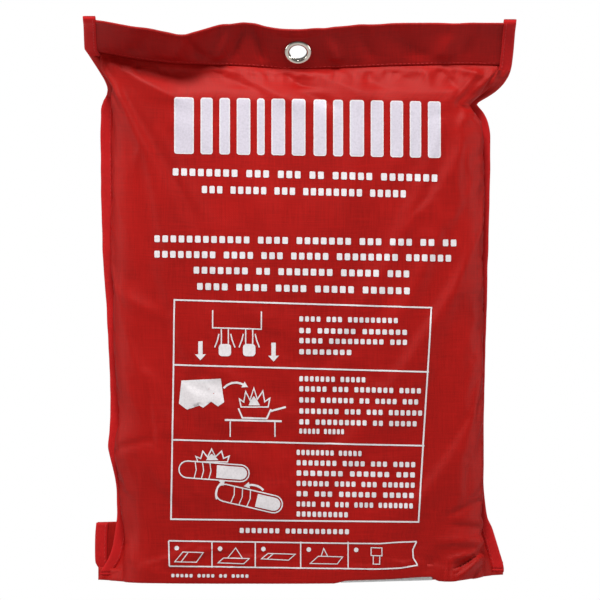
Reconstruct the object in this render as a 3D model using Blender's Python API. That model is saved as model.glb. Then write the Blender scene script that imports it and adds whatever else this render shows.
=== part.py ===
"""A fire blanket in its hanging soft pouch, at rest: the pouch closed behind, the folded blanket inside it.

Metres, +Z up, the front of the pouch faces -Y. The origin is the centre of the eyelet that the pouch hangs by.
"""

import math

import bmesh
import bpy
from mathutils import Vector

# Driving dimensions
GAP = 0.0003
CLOTH = 0.0006
TAPE = 0.0005
PITCH = CLOTH + GAP

# Header: the stiff band at the top, which leans forward about the X axis
LEAN = math.radians(35)
HEADER_TOP = 0.0235
HEADER_FOOT = -0.0136
HEADER_ROW = 0.012
HEADER_COLUMNS = 12
HEADER_FOLD_ANGLE = 0.6
SEAM = -0.0144

# Body of the pouch
BACK_Y = 0.0210
FRONT_Y = -0.0050
SHOULDER_TOP_Z = SEAM * math.cos(LEAN)
SHOULDER_HEIGHT = 0.026
SHOULDER_ROWS = 7
BODY_ROWS = 18
SEAM_RUN = 0.070
MOUTH_Z = -0.3902
WALL_WIDTH = 0.012
WALL_STEPS = 6
FRONT_COLUMNS = 8
FLAT_HALF_WIDTH = 0.110
BACK_FLAT_TOP_Z = -0.060
BACK_FLAT_FOOT_Z = -0.335
BACK_CURVE = 0.0004
BACK_TURN_SHARE = 0.8

# Side binding tape: how far each of its two outer edges lies from the centre at a height z
BINDING_WIDTH = 0.0090
BINDING_TOP = 0.0285
BINDING_STEP = 0.004
EDGE_INSET = TAPE + GAP
LEFT_EDGE = (
    (0.030, 0.1576),
    (-0.0055, 0.1576),
    (-0.009, 0.1520),
    (-0.015, 0.1470),
    (-0.027, 0.1425),
    (-0.045, 0.1462),
    (-0.102, 0.1465),
    (-0.154, 0.1450),
    (-0.200, 0.1420),
    (-0.257, 0.1396),
    (-0.294, 0.1392),
    (-0.320, 0.1362),
    (-0.345, 0.1356),
    (-0.368, 0.1395),
    (-0.392, 0.1495),
)
RIGHT_EDGE = (
    (0.030, 0.1606),
    (-0.0055, 0.1594),
    (-0.010, 0.1580),
    (-0.020, 0.1530),
    (-0.030, 0.1430),
    (-0.038, 0.1372),
    (-0.050, 0.1400),
    (-0.065, 0.1425),
    (-0.110, 0.1425),
    (-0.154, 0.1413),
    (-0.257, 0.1386),
    (-0.317, 0.1380),
    (-0.345, 0.1406),
    (-0.368, 0.1485),
    (-0.392, 0.1530),
)

# Eyelet
HOLE_RADIUS = 0.00615
BARREL_WALL = 0.0004
FLANGE_RADIUS = 0.0105
FLANGE_THICKNESS = 0.0009
FLANGE_RIM = 0.0004
FLANGE_SLOPE = 0.0015
FLANGE_DOME = 0.0012
WASHER_SLOPE = 0.0010
ROLL_LIP = 0.0003
ROLL_WIDTH = 0.0022
PLY_HOLE_RADIUS = HOLE_RADIUS + BARREL_WALL + GAP
CUTTER_LENGTH = 0.030
HEADER_HALF = 1.5 * PITCH + CLOTH / 2

# Flap behind the mouth, folded up against the back panel
STRIP = 0.0009
FLAP_SPACE = 2 * STRIP + 3 * GAP
FLAP_Y = BACK_Y + CLOTH + FLAP_SPACE
HINGE_Y = (BACK_Y + FLAP_Y) / 2
HINGE_Z = -0.3918
HINGE_CLEARANCE = 0.0004
FLAP_TOP_Z = -0.3493
FLAP_LEFT = -0.1510
FLAP_RIGHT = 0.1532
STRIP_HALF_LENGTH = 0.115
STRIP_FOOT_Z = -0.382
STRIP_TOP_Z = -0.357

# Label under the edge of the mouth
LABEL_LEFT = 0.0318
LABEL_RIGHT = 0.0999
LABEL_TOP_Z = -0.3760
LABEL_FOOT_Z = -0.3928
LABEL_THICKNESS = 0.0003

# Folded blanket: a 1.2 m by 1.8 m sheet folded in five both ways
BLANKET_SIZE = (1.2, 1.8)
FOLDS = 5
LAYER = 0.0008
PACK_WIDTH = BLANKET_SIZE[0] / FOLDS
PACK_HEIGHT = BLANKET_SIZE[1] / FOLDS
PACK_DEPTH = FOLDS * FOLDS * LAYER
PACK_X = -0.001
PACK_Y = 0.009
PACK_TOP_Z = -0.0255
PACK_ROUNDING = 0.008
PULL_WIDTH = 0.025
PULL_THICKNESS = 0.0012
PULL_TOP_Z = -0.270
PULL_FOOT_Z = -0.388
PULL_SPACING = 0.150

# Thread that shows as a line of stitches
THREAD = 0.0005
THREAD_SPACE = GAP + THREAD / 2
STITCH_INSET = 0.0018
STITCH_END_SPACE = 0.001


def interpolate(stations, z):
    """The value at height z on straight lines between the stations, which run from the top down."""
    for (upper_z, upper), (lower_z, lower) in zip(stations, stations[1:]):
        if z >= lower_z:
            share = min(1.0, (upper_z - z) / (upper_z - lower_z))
            return upper + (lower - upper) * share
    return stations[-1][1]


def smoothed(stations, z, reach=0.004):
    """The interpolated value, with the corners at the stations rounded off."""
    samples = [interpolate(stations, z + reach * step / 3) for step in range(-3, 4)]
    return sum(samples) / len(samples)


def edge_x(side, z):
    """The x of the binding's outer edge on one side, -1 for left and 1 for right."""
    return side * smoothed(LEFT_EDGE if side < 0 else RIGHT_EDGE, z)


def seam_y(z):
    """The depth of the side seam: in the header's plane at the top, near the back lower down."""
    if z >= SHOULDER_TOP_Z:
        return -z * math.tan(LEAN)
    top = -SHOULDER_TOP_Z * math.tan(LEAN)
    foot = BACK_Y - PITCH / 2
    share = min(1.0, (SHOULDER_TOP_Z - z) / SEAM_RUN)
    return top + (foot - top) * math.sin(math.pi / 2 * share)


def seam_frame(z):
    """The seam's depth at z and its unit normal, pointing to the back."""
    step = 0.001
    slope = (seam_y(z + step) - seam_y(z - step)) / (2 * step)
    return seam_y(z), Vector((0, 1, -slope)).normalized()


def shoulder(z):
    """How far the bulge has opened at z, from 0 at the header's seam to 1 below the shoulder."""
    share = (SHOULDER_TOP_Z - z) / SHOULDER_HEIGHT
    return math.sin(math.pi / 2 * min(1.0, max(0.0, share)))


def header_rows(top):
    """Heights from a distance up the header's slope down to its seam."""
    ups = (top, HEADER_FOOT + HEADER_ROW, HEADER_FOOT, SEAM)
    return [up * math.cos(LEAN) for up in ups]


def shoulder_rows():
    """Heights from just below the header's seam to the foot of the shoulder."""
    return [SHOULDER_TOP_Z - SHOULDER_HEIGHT * (i + 1) / SHOULDER_ROWS for i in range(SHOULDER_ROWS)]


def body_rows():
    """Heights below the shoulder, down to the mouth. All the layers share them, so their gaps stay even."""
    top = SHOULDER_TOP_Z - SHOULDER_HEIGHT
    return [top + (MOUTH_Z - top) * (i + 1) / BODY_ROWS for i in range(BODY_ROWS)]


def principled(name, colour, roughness, metallic=0.0):
    material = bpy.data.materials.new(name)
    material.use_nodes = True
    shader = material.node_tree.nodes["Principled BSDF"]
    shader.inputs["Base Color"].default_value = (*colour, 1)
    shader.inputs["Roughness"].default_value = roughness
    shader.inputs["Metallic"].default_value = metallic
    return material


def add_object(name, bm, material):
    mesh = bpy.data.meshes.new(name)
    bmesh.ops.recalc_face_normals(bm, faces=bm.faces)
    bm.to_mesh(mesh)
    bm.free()
    obj = bpy.data.objects.new(name, mesh)
    mesh.materials.append(material)
    bpy.context.scene.collection.objects.link(obj)
    return obj


def thicken(obj, thickness):
    """Gives a sheet its thickness, half on each side."""
    solidify = obj.modifiers.new("Thickness", "SOLIDIFY")
    solidify.thickness = thickness
    solidify.offset = 0
    solidify.use_even_offset = True


def sheet(name, rows, thickness, material):
    """A closed sheet through rows of points, which all have the same number of points."""
    bm = bmesh.new()
    grid = [[bm.verts.new(point) for point in row] for row in rows]
    for upper, lower in zip(grid, grid[1:]):
        for left in range(len(upper) - 1):
            bm.faces.new((upper[left], lower[left], lower[left + 1], upper[left + 1]))
    obj = add_object(name, bm, material)
    thicken(obj, thickness)
    return obj


def box(name, low, high, material, rounding=0.0, segments=3):
    bm = bmesh.new()
    bmesh.ops.create_cube(bm, size=1)
    centre = (Vector(low) + Vector(high)) / 2
    size = Vector(high) - Vector(low)
    for vert in bm.verts:
        vert.co = centre + Vector(c * s for c, s in zip(vert.co, size))
    obj = add_object(name, bm, material)
    if rounding:
        bevel = obj.modifiers.new("Rounding", "BEVEL")
        bevel.width = rounding
        bevel.segments = segments
        obj.data.shade_smooth()
    return obj


def cut_eyelet_hole(obj, cutter):
    cut = obj.modifiers.new("Eyelet hole", "BOOLEAN")
    cut.operation = "DIFFERENCE"
    cut.solver = "EXACT"
    cut.object = cutter


def hole_cutter():
    """A round bar along the header's normal, through the eyelet's place."""
    bm = bmesh.new()
    radius = PLY_HOLE_RADIUS
    bmesh.ops.create_cone(
        bm, cap_ends=True, segments=24, radius1=radius, radius2=radius, depth=CUTTER_LENGTH
    )
    cutter = add_object("eyelet_hole_cutter", bm, None)
    cutter.rotation_euler.x = math.pi / 2 + LEAN
    cutter.hide_render = True
    cutter.display_type = "WIRE"
    return cutter


def panel_row(z, ply, bulge_to):
    """One row across a body panel: flat margins in the bindings, and a wall that bulges between them."""
    depth, normal = seam_frame(z)
    base = Vector((0, depth, z)) + normal * ply
    bulge = (bulge_to - base.y) * shoulder(z)
    sides = []
    for side in (-1, 1):
        edge = edge_x(side, z) - side * EDGE_INSET
        foot = edge_x(side, z) - side * (BINDING_WIDTH + 2 * GAP)
        wall = [(edge, 0.0)]
        for i in range(WALL_STEPS + 1):
            angle = math.pi / 2 * i / WALL_STEPS
            wall.append((foot - side * WALL_WIDTH * (1 - math.cos(angle)), math.sin(angle)))
        sides.append(wall)
    left, right = sides[0], sides[1][::-1]
    start, end = left[-1][0], right[0][0]
    middle = [(start + (end - start) * i / FRONT_COLUMNS, 1.0) for i in range(1, FRONT_COLUMNS)]
    return [base + Vector((x, bulge * share, 0)) for x, share in left + middle + right]


def front_panel(material, cutter):
    """The front cloth, from the top of the header over the bulge to the mouth."""
    rows = header_rows(HEADER_TOP - 2.5 * PITCH) + shoulder_rows() + body_rows()
    points = [panel_row(z, -PITCH / 2, FRONT_Y) for z in rows]
    panel = sheet("front_panel", points, CLOTH, material)
    cut_eyelet_hole(panel, cutter)
    return panel


def back_row(z):
    """One row across the back: flat between its margins, which turn a little to the front."""
    depth, normal = seam_frame(z)
    base = Vector((0, depth, z)) + normal * PITCH / 2
    out = (BACK_Y - base.y) * shoulder(z)
    drop = 0.0 if BACK_FLAT_FOOT_Z <= z <= BACK_FLAT_TOP_Z else BACK_CURVE
    left = edge_x(-1, z) + EDGE_INSET
    right = edge_x(1, z) - EDGE_INSET
    inner_left = left + BINDING_WIDTH + GAP
    inner_right = right - BINDING_WIDTH - GAP
    turn_left = (inner_left - FLAT_HALF_WIDTH) / 2
    turn_right = (inner_right + FLAT_HALF_WIDTH) / 2
    across = [(left, 0, 1), (inner_left, 0, 1), (turn_left, BACK_TURN_SHARE, 1)]
    across += [(FLAT_HALF_WIDTH * i / 3, 1, 0) for i in range(-3, 4)]
    across += [(turn_right, BACK_TURN_SHARE, 1), (inner_right, 0, 1), (right, 0, 1)]
    points = []
    for x, share, margin in across:
        curve = BACK_CURVE * margin if share else 0.0
        turn = (curve + drop) * shoulder(z)
        points.append(base + Vector((x, (out - turn) * share, 0)))
    return points


def back_panel(material, cutter):
    """The back cloth, from the top of the header down to the fold where the flap begins."""
    rows = header_rows(HEADER_TOP - 2.5 * PITCH) + shoulder_rows() + body_rows()
    rows.append(HINGE_Z + HINGE_CLEARANCE)
    panel = sheet("back_panel", [back_row(z) for z in rows], CLOTH, material)
    cut_eyelet_hole(panel, cutter)
    return panel


def header_point(x, up, out):
    """A point at a distance up the header's slope and a distance out of its plane, to the back."""
    y = -up * math.sin(LEAN) + out * math.cos(LEAN)
    z = up * math.cos(LEAN) + out * math.sin(LEAN)
    return Vector((x, y, z))


def header_band(material, cutter):
    """The strip folded over the top of both panels, front ply, fold and back ply."""
    ply = 1.5 * PITCH
    heights = [HEADER_FOOT, HEADER_FOOT + HEADER_ROW, HEADER_TOP - ply]
    section = [(up, -ply) for up in heights]
    for angle in (-HEADER_FOLD_ANGLE, HEADER_FOLD_ANGLE):
        section.append((HEADER_TOP - ply + ply * math.cos(angle), ply * math.sin(angle)))
    section += [(up, ply) for up in reversed(heights)]
    rows = []
    for up, out in section:
        z = up * math.cos(LEAN)
        left = edge_x(-1, z) + EDGE_INSET
        right = edge_x(1, z) - EDGE_INSET
        steps = [left + (right - left) * i / HEADER_COLUMNS for i in range(HEADER_COLUMNS + 1)]
        rows.append([header_point(x, up, out) for x in steps])
    band = sheet("header_band", rows, CLOTH, material)
    cut_eyelet_hole(band, cutter)
    return band


def side_binding(name, side, material):
    """A tape folded round the side edges of the panels, from above the header to the mouth's fold."""
    rows = header_rows(BINDING_TOP) + shoulder_rows() + body_rows()
    rows.append(HINGE_Z + HINGE_CLEARANCE)
    points = []
    for z in rows:
        depth, normal = seam_frame(z)
        in_header = min(1.0, max(0.0, (z - SHOULDER_TOP_Z + BINDING_STEP) / BINDING_STEP))
        half = (PITCH / 2 + CLOTH / 2 + GAP + TAPE / 2) + in_header * PITCH
        centre = Vector((0, depth, z))
        outer = edge_x(side, z) - side * TAPE / 2
        inner = edge_x(side, z) - side * BINDING_WIDTH
        ends = ((inner, -half), (outer, -half), (outer, half), (inner, half))
        points.append([centre + Vector((x, 0, 0)) + normal * out for x, out in ends])
    return sheet(name, points, TAPE, material)


def turned(name, profile, material, segments=32):
    """A ring turned round the eyelet's axis, from its profile of radius and distance out of the header."""
    bm = bmesh.new()
    rings = []
    for i in range(segments):
        angle = 2 * math.pi * i / segments
        x, up = math.cos(angle), math.sin(angle)
        rings.append([bm.verts.new(header_point(r * x, r * up, out)) for r, out in profile])
    for ring, following in zip(rings, rings[1:] + rings[:1]):
        for i, start in enumerate(ring):
            end = (i + 1) % len(ring)
            bm.faces.new((start, ring[end], following[end], following[i]))
    ring = add_object(name, bm, material)
    ring.data.shade_smooth()
    return ring


def eyelet(material):
    """The eyelet's flanged barrel, set from the front, and the washer that it is rolled over behind."""
    front = -(HEADER_HALF + GAP)
    back = HEADER_HALF + GAP
    inner = HOLE_RADIUS
    outer = HOLE_RADIUS + BARREL_WALL
    roll = back + FLANGE_THICKNESS + GAP
    flange = [
        (inner, front - FLANGE_RIM),
        (inner, roll + ROLL_LIP),
        (inner + ROLL_WIDTH / 2, roll + 2 * ROLL_LIP),
        (inner + ROLL_WIDTH, roll + ROLL_LIP),
        (inner + ROLL_WIDTH, roll),
        (outer, roll),
        (outer, front),
        (FLANGE_RADIUS, front),
        (FLANGE_RADIUS, front - FLANGE_RIM),
        (FLANGE_RADIUS - FLANGE_SLOPE, front - FLANGE_THICKNESS),
        (inner + FLANGE_DOME, front - FLANGE_THICKNESS - FLANGE_RIM),
    ]
    turned("eyelet_flange", flange, material)
    washer = [
        (outer + GAP, back),
        (FLANGE_RADIUS, back),
        (FLANGE_RADIUS, back + FLANGE_RIM),
        (FLANGE_RADIUS - WASHER_SLOPE, back + FLANGE_THICKNESS),
        (outer + GAP, back + FLANGE_THICKNESS),
    ]
    turned("eyelet_washer", washer, material)


def thread(name, points, across, material):
    """A line of stitches as one thin square thread. across is the direction of its flat side."""
    bm = bmesh.new()
    rings = []
    for i, point in enumerate(points):
        before = points[max(0, i - 1)]
        after = points[min(len(points) - 1, i + 1)]
        out = (after - before).cross(across).normalized() * THREAD / 2
        side = across.normalized() * THREAD / 2
        corners = (side + out, side - out, -side - out, -side + out)
        rings.append([bm.verts.new(point + corner) for corner in corners])
    for ring, following in zip(rings, rings[1:]):
        for i in range(4):
            bm.faces.new((ring[i], ring[(i + 1) % 4], following[(i + 1) % 4], following[i]))
    bm.faces.new(rings[0])
    bm.faces.new(rings[-1])
    return add_object(name, bm, material)


def stitch_lines(material):
    """The thread along the foot of the header, and the one down each side binding."""
    up = HEADER_FOOT + STITCH_INSET
    out = -(HEADER_HALF + THREAD_SPACE)
    z = up * math.cos(LEAN)
    left = edge_x(-1, z) + BINDING_WIDTH + STITCH_END_SPACE
    right = edge_x(1, z) - BINDING_WIDTH - STITCH_END_SPACE
    points = [header_point(left + (right - left) * i / 10, up, out) for i in range(11)]
    slope = header_point(0, 1, 0)
    thread("header_stitching", points, slope, material)
    half = PITCH / 2 + CLOTH / 2 + GAP + TAPE
    for name, side in (("left_binding_stitching", -1), ("right_binding_stitching", 1)):
        points = []
        for z in body_rows()[:-1]:
            depth, normal = seam_frame(z)
            x = edge_x(side, z) - side * (BINDING_WIDTH - STITCH_INSET)
            points.append(Vector((x, depth, z)) - normal * (half + THREAD_SPACE))
        thread(name, points, Vector((1, 0, 0)), material)


def hook_and_loop(loop_material, hook_material):
    """The loop strip sewn behind the back panel, and the hook strip on the flap that grips it."""
    back = BACK_Y + CLOTH / 2 + GAP
    front = FLAP_Y - CLOTH / 2 - GAP
    low_x, high_x = -STRIP_HALF_LENGTH, STRIP_HALF_LENGTH
    box(
        "back_loop_strip",
        (low_x, back, STRIP_FOOT_Z),
        (high_x, back + STRIP, STRIP_TOP_Z),
        loop_material,
    )
    return box(
        "flap_hook_strip",
        (low_x, front - STRIP, STRIP_FOOT_Z),
        (high_x, front, STRIP_TOP_Z),
        hook_material,
    )


def flap(cloth, tape):
    """The closing flap, folded up behind the back panel, with its two edge tapes."""
    foot = HINGE_Z + HINGE_CLEARANCE
    heights = [foot + (FLAP_TOP_Z - foot) * i / 3 for i in range(4)]
    left = FLAP_LEFT + EDGE_INSET
    right = FLAP_RIGHT - EDGE_INSET
    rows = []
    for z in reversed(heights):
        rows.append([Vector((left + (right - left) * i / 8, FLAP_Y, z)) for i in range(9)])
    pieces = [sheet("bottom_flap", rows, CLOTH, cloth)]
    half = CLOTH / 2 + GAP + TAPE / 2
    for name, side, edge in (
        ("flap_left_binding", -1, FLAP_LEFT),
        ("flap_right_binding", 1, FLAP_RIGHT),
    ):
        outer = edge - side * TAPE / 2
        inner = edge - side * BINDING_WIDTH
        ends = ((inner, -half), (outer, -half), (outer, half), (inner, half))
        rows = [[Vector((x, FLAP_Y + out, z)) for x, out in ends] for z in reversed(heights)]
        pieces.append(sheet(name, rows, TAPE, tape))
    return pieces


def hang_on(pieces, name, place):
    """Parents the pieces to an empty on their joint's axis."""
    pivot = bpy.data.objects.new(name, None)
    pivot.location = place
    bpy.context.scene.collection.objects.link(pivot)
    for piece in pieces:
        piece.parent = pivot
        piece.matrix_parent_inverse.translation = -Vector(place)


def blanket(cloth, webbing):
    """The folded blanket, with a pull tape lying on its face near each lower corner."""
    front = PACK_Y - PACK_DEPTH / 2
    pack = box(
        "folded_blanket",
        (PACK_X - PACK_WIDTH / 2, front, PACK_TOP_Z - PACK_HEIGHT),
        (PACK_X + PACK_WIDTH / 2, front + PACK_DEPTH, PACK_TOP_Z),
        cloth,
        PACK_ROUNDING,
    )
    pieces = [pack]
    for name, side in (("left_pull_tape", -1), ("right_pull_tape", 1)):
        x = PACK_X + side * PULL_SPACING / 2
        low = (x - PULL_WIDTH / 2, front - GAP - PULL_THICKNESS, PULL_FOOT_Z)
        high = (x + PULL_WIDTH / 2, front - GAP, PULL_TOP_Z)
        pieces.append(box(name, low, high, webbing))
    return pieces


def label(material):
    """A blank label inside the back of the mouth, with its lower edge below the front panel."""
    back = BACK_Y - BACK_CURVE - CLOTH / 2 - GAP
    low = (LABEL_LEFT, back - LABEL_THICKNESS, LABEL_FOOT_Z)
    high = (LABEL_RIGHT, back, LABEL_TOP_Z)
    box("bottom_label", low, high, material)


def main():
    for obj in list(bpy.data.objects):
        bpy.data.objects.remove(obj)
    red = principled("red_cloth", (0.40, 0.013, 0.012), 0.62)
    dark_red = principled("header_cloth", (0.24, 0.006, 0.008), 0.60)
    tape_red = principled("binding_tape", (0.52, 0.012, 0.016), 0.70)
    thread_red = principled("red_thread", (0.45, 0.02, 0.02), 0.5)
    nickel = principled("nickel", (0.80, 0.78, 0.74), 0.18, 1.0)
    glass_cloth = principled("glass_cloth", (0.78, 0.76, 0.70), 0.75)
    webbing = principled("black_webbing", (0.02, 0.02, 0.022), 0.70)
    loops = principled("loop_strip", (0.30, 0.010, 0.012), 0.95)
    hooks = principled("hook_strip", (0.26, 0.010, 0.012), 0.75)
    paper = principled("label_cloth", (0.80, 0.80, 0.80), 0.70)

    cutter = hole_cutter()
    front_panel(red, cutter)
    back_panel(red, cutter)
    header_band(dark_red, cutter)
    side_binding("left_binding", -1, tape_red)
    side_binding("right_binding", 1, tape_red)
    eyelet(nickel)
    stitch_lines(thread_red)
    label(paper)
    hook = hook_and_loop(loops, hooks)
    hang_on(flap(red, tape_red) + [hook], "flap_hinge_axis", (0, HINGE_Y, HINGE_Z))
    hang_on(blanket(glass_cloth, webbing), "blanket_slide_axis", (PACK_X, PACK_Y, PACK_TOP_Z))


main()
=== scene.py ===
import math

import bmesh
import bpy
import numpy as np
from mathutils import Matrix, Vector, noise
from mathutils.bvhtree import BVHTree


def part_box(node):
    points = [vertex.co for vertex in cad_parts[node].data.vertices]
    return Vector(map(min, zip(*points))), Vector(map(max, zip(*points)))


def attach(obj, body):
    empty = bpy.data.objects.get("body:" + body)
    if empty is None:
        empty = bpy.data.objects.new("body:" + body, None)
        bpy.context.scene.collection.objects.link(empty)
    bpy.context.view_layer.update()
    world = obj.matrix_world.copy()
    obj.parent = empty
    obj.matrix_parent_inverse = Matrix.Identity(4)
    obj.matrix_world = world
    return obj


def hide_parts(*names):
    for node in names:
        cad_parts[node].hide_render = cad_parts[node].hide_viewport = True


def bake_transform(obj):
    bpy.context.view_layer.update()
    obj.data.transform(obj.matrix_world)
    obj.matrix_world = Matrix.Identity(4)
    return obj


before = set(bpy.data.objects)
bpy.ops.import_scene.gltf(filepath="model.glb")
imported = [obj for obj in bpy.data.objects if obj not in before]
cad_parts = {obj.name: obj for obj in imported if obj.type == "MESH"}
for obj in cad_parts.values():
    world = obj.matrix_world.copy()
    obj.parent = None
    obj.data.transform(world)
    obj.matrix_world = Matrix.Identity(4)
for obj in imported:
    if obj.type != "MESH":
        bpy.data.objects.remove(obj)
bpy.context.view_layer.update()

MM = 0.001

# ---------------------------------------------------------------- measures, in millimetres


def mm_box(node):
    """A CAD node's lowest and highest corner, in millimetres."""
    low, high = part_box(node)
    return np.array(low) / MM, np.array(high) / MM


PACK_LOW, PACK_HIGH = mm_box("folded_blanket")
BACK_FACE_Y = mm_box("back_panel")[1][1]
FLAP_LOW, FLAP_HIGH = mm_box("bottom_flap")
# a ply of cloth, the distance between two plies, and the binding tape
CLOTH, PITCH, TAPE = 0.6, 0.9, 0.5
CLOTH_SEEN = 0.8 * CLOTH
BACK_Y = BACK_FACE_Y - CLOTH / 2
FLAP_Y = (FLAP_LOW[1] + FLAP_HIGH[1]) / 2
# the header: its lean, its seam, its plies' distance from its middle, and its curl forward in radians
LEAN = math.radians(35)
SEAM_UP = -14.4
SEAM_Z = SEAM_UP * math.cos(LEAN)
SEAM_Y = -SEAM_UP * math.sin(LEAN)
HEADER_HEIGHT = 35.5
HEADER_PLY = 1.5 * PITCH
EYELET_PLY = 0.62
HEADER_CURL = 0.41
HEADER_STITCH_UP, EYELET_UP = 0.055, 0.405
# the body: how far down the bulge is full, its crown, and the places of its side seams, mouth and fold
SHOULDER = 26.0
SIDE_Y = BACK_Y - PITCH / 2
FRONT_EDGE_Y = -3.6
CROWN = 3.4
MOUTH_Z = -391.0
HINGE_FOOT_Z = -391.4
CORNER_Z = -386.0
FOLD_RADIUS = 1.2
SEAM_TUCK = [-2.4, -1.2]
# the binding, its overlap on the cloth, and its stitches' place
BINDING_WIDTH = 9.0
EDGE_INSET = 0.8
STITCH_INSET = 1.9
STITCH_CLEARANCE = 0.05


def spline(*points):
    """A smooth curve through the points, as a function of the first coordinate."""
    xs, ys = np.array(sorted(points), float).T
    steps = np.diff(ys) / np.diff(xs)
    before, after = np.append(steps[0], steps), np.append(steps, steps[-1])
    slopes = np.where(before * after > 0, 2 * before * after / (before + after + 1e-12), 0.0)

    def value(x):
        x = np.clip(x, xs[0], xs[-1])
        i = np.clip(np.searchsorted(xs, x) - 1, 0, len(xs) - 2)
        width = xs[i + 1] - xs[i]
        t = (x - xs[i]) / width
        start = (1 + 2 * t) * (1 - t) ** 2 * ys[i] + t * (1 - t) ** 2 * width * slopes[i]
        end = t * t * (3 - 2 * t) * ys[i + 1] + t * t * (t - 1) * width * slopes[i + 1]
        return start + end

    return value


def smooth(t):
    t = np.clip(t, 0, 1)
    return t * t * (3 - 2 * t)


# Outer edges of the side bindings, x at each height z
LEFT_OUTER = spline(
    (30, -157.6), (22, -157.6), (8, -157.9), (3.6, -157.8), (0, -155.8), (-6, -152.2),
    (-15, -146.4), (-21, -142.9), (-27, -141.3), (-31, -142.0), (-36, -144.6), (-43, -146.5),
    (-65, -146.8), (-102, -146.5), (-154, -145.0), (-183, -142.9), (-217, -141.0),
    (-257, -139.6), (-280, -140.1), (-292, -141.4), (-300, -140.0), (-317, -135.8),
    (-330, -134.8), (-343, -134.7), (-354, -135.6), (-365, -137.6), (-377, -141.5),
    (-386, -147.0), (-393, -150.5),
)
RIGHT_OUTER = spline(
    (30, 161.2), (23.7, 160.8), (5, 159.6), (-7.4, 158.6), (-14.8, 157.0), (-22, 153.2),
    (-28, 147.2), (-32.6, 140.4), (-36.4, 134.0), (-38.0, 132.7), (-39.8, 134.0),
    (-45, 138.2), (-52.5, 141.4), (-62, 142.9), (-85, 143.0), (-110, 142.5), (-154, 141.3),
    (-198, 140.2), (-257, 138.5), (-317, 137.9), (-330, 138.7), (-344.8, 140.8),
    (-353.7, 144.7), (-370, 149.5), (-383, 153.2), (-393, 154.0),
)
# Outermost edge of the front cloth's bulge, which hangs a little over the binding
LEFT_BULGE = spline(
    (-12, -146.0), (-27, -137.5), (-40, -138.8), (-65, -138.8), (-154, -138.4), (-213, -137.6),
    (-239, -136.2), (-272, -133.4), (-290, -135.8), (-297, -135.6), (-317, -132.0), (-339, -130.8),
    (-361, -127.8), (-377, -128.6), (-392, -129.6),
)
RIGHT_BULGE = spline(
    (-12, 148.0), (-30, 134.0), (-38, 127.5), (-45, 132.0), (-52, 136.2), (-65, 138.2),
    (-110, 137.8), (-154, 137.2), (-257, 137.2), (-317, 137.0), (-331, 136.2),
    (-342.6, 135.4), (-350, 136.8), (-357.4, 135.2), (-363.3, 137.5), (-368.5, 134.6),
    (-376, 138.3), (-392, 137.0),
)
# Header: height of its seam and of its top edge along x
HEADER_SEAM_Z = spline(
    (-158, 1.0), (-147, 0.5), (-132, -2.2), (-117, -4.7), (-95, -7.0), (-72, -8.3),
    (-40, -9.7), (-13, -11.1), (16, -11.3), (75, -9.4), (120, -8.6), (150, -8.9), (161, -8.6),
)
HEADER_TOP_Z = spline(
    (-158, 22.2), (-149, 21.6), (-117, 16.2), (-97, 13.2), (-84, 11.2), (-77, 13.0),
    (-66, 16.3), (-54, 19.8), (-48, 20.3), (-36, 20.1), (-22, 17.3), (-9, 15.7), (0, 15.5),
    (16, 16.8), (46, 18.6), (90, 20.4), (152, 20.4), (161, 20.2),
)
# Outer edge of the flap on the left
FLAP_LEFT = spline((-393, -148.5), (-384, -150.4), (-372, -151.4), (-360, -151.0), (-349, -150.3))
# Depth of the side seams at each height
LEFT_SIDE_Y = spline(
    (3, 3.2), (-1.5, 4.7), (-12, 8.6), (-30, 13.0), (-50, 17.0), (-82, 20.2), (-110, SIDE_Y), (-400, SIDE_Y),
)
RIGHT_SIDE_Y = spline(
    (-7, 6.4), (-9, 7.0), (-20, 10.2), (-38, 15.0), (-55, 18.2), (-82, 20.3), (-110, SIDE_Y), (-400, SIDE_Y),
)
# The mouth's edge, and the line along which the flap folds up behind
MOUTH_EDGE_Z = spline(
    (-150, -391.2), (-128, -392.0), (-60, -392.4), (26, -392.2), (36, -390.2), (66, -389.2), (99, -387.4),
    (103, -390.4), (112, -391.0), (126, -389.6), (138, -388.4), (154, -387.4),
)
FOLD_Z = spline(
    (-152, -387.0), (-144, -388.6), (-133, -391.0), (-126, -392.2), (0, -392.6), (110, -391.2),
    (137, -389.2), (154, -385.0),
)

# ---------------------------------------------------------------- meshes


def link(name, data):
    obj = bpy.data.objects.new(name, data)
    bpy.context.scene.collection.objects.link(obj)
    return obj


def link_bmesh(name, bm):
    mesh = bpy.data.meshes.new(name)
    bm.to_mesh(mesh)
    bm.free()
    return link(name, mesh)


def add_mesh(name, points, faces, uvs=None):
    """points in millimetres; uvs, one per point, also in millimetres of cloth."""
    mesh = bpy.data.meshes.new(name)
    mesh.from_pydata((np.asarray(points, float) * MM).tolist(), [], faces)
    mesh.update()
    if uvs is not None:
        layer = mesh.uv_layers.new(name="Cloth")
        corners = np.empty(len(mesh.loops), np.int32)
        mesh.loops.foreach_get("vertex_index", corners)
        layer.data.foreach_set("uv", (np.asarray(uvs, float) * MM)[corners].astype(np.float32).ravel())
    mesh.shade_smooth()
    return link(name, mesh)


def grid_faces(rows, columns, offset=0, flip=False):
    faces = []
    for r in range(rows - 1):
        for c in range(columns - 1):
            a = offset + r * columns + c
            face = (a, a + columns, a + columns + 1, a + 1)
            faces.append(face[::-1] if flip else face)
    return faces


def ring_faces(rings, sides, first=0, wrap=False):
    """Faces between closed rings of points, and from the last ring to the first where they wrap."""
    faces = []
    for r in range(rings if wrap else rings - 1):
        for k in range(sides):
            a, b = r * sides + k, r * sides + (k + 1) % sides
            c, d = (r + 1) % rings * sides + k, (r + 1) % rings * sides + (k + 1) % sides
            faces.append((first + a, first + b, first + d, first + c))
    return faces


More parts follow.
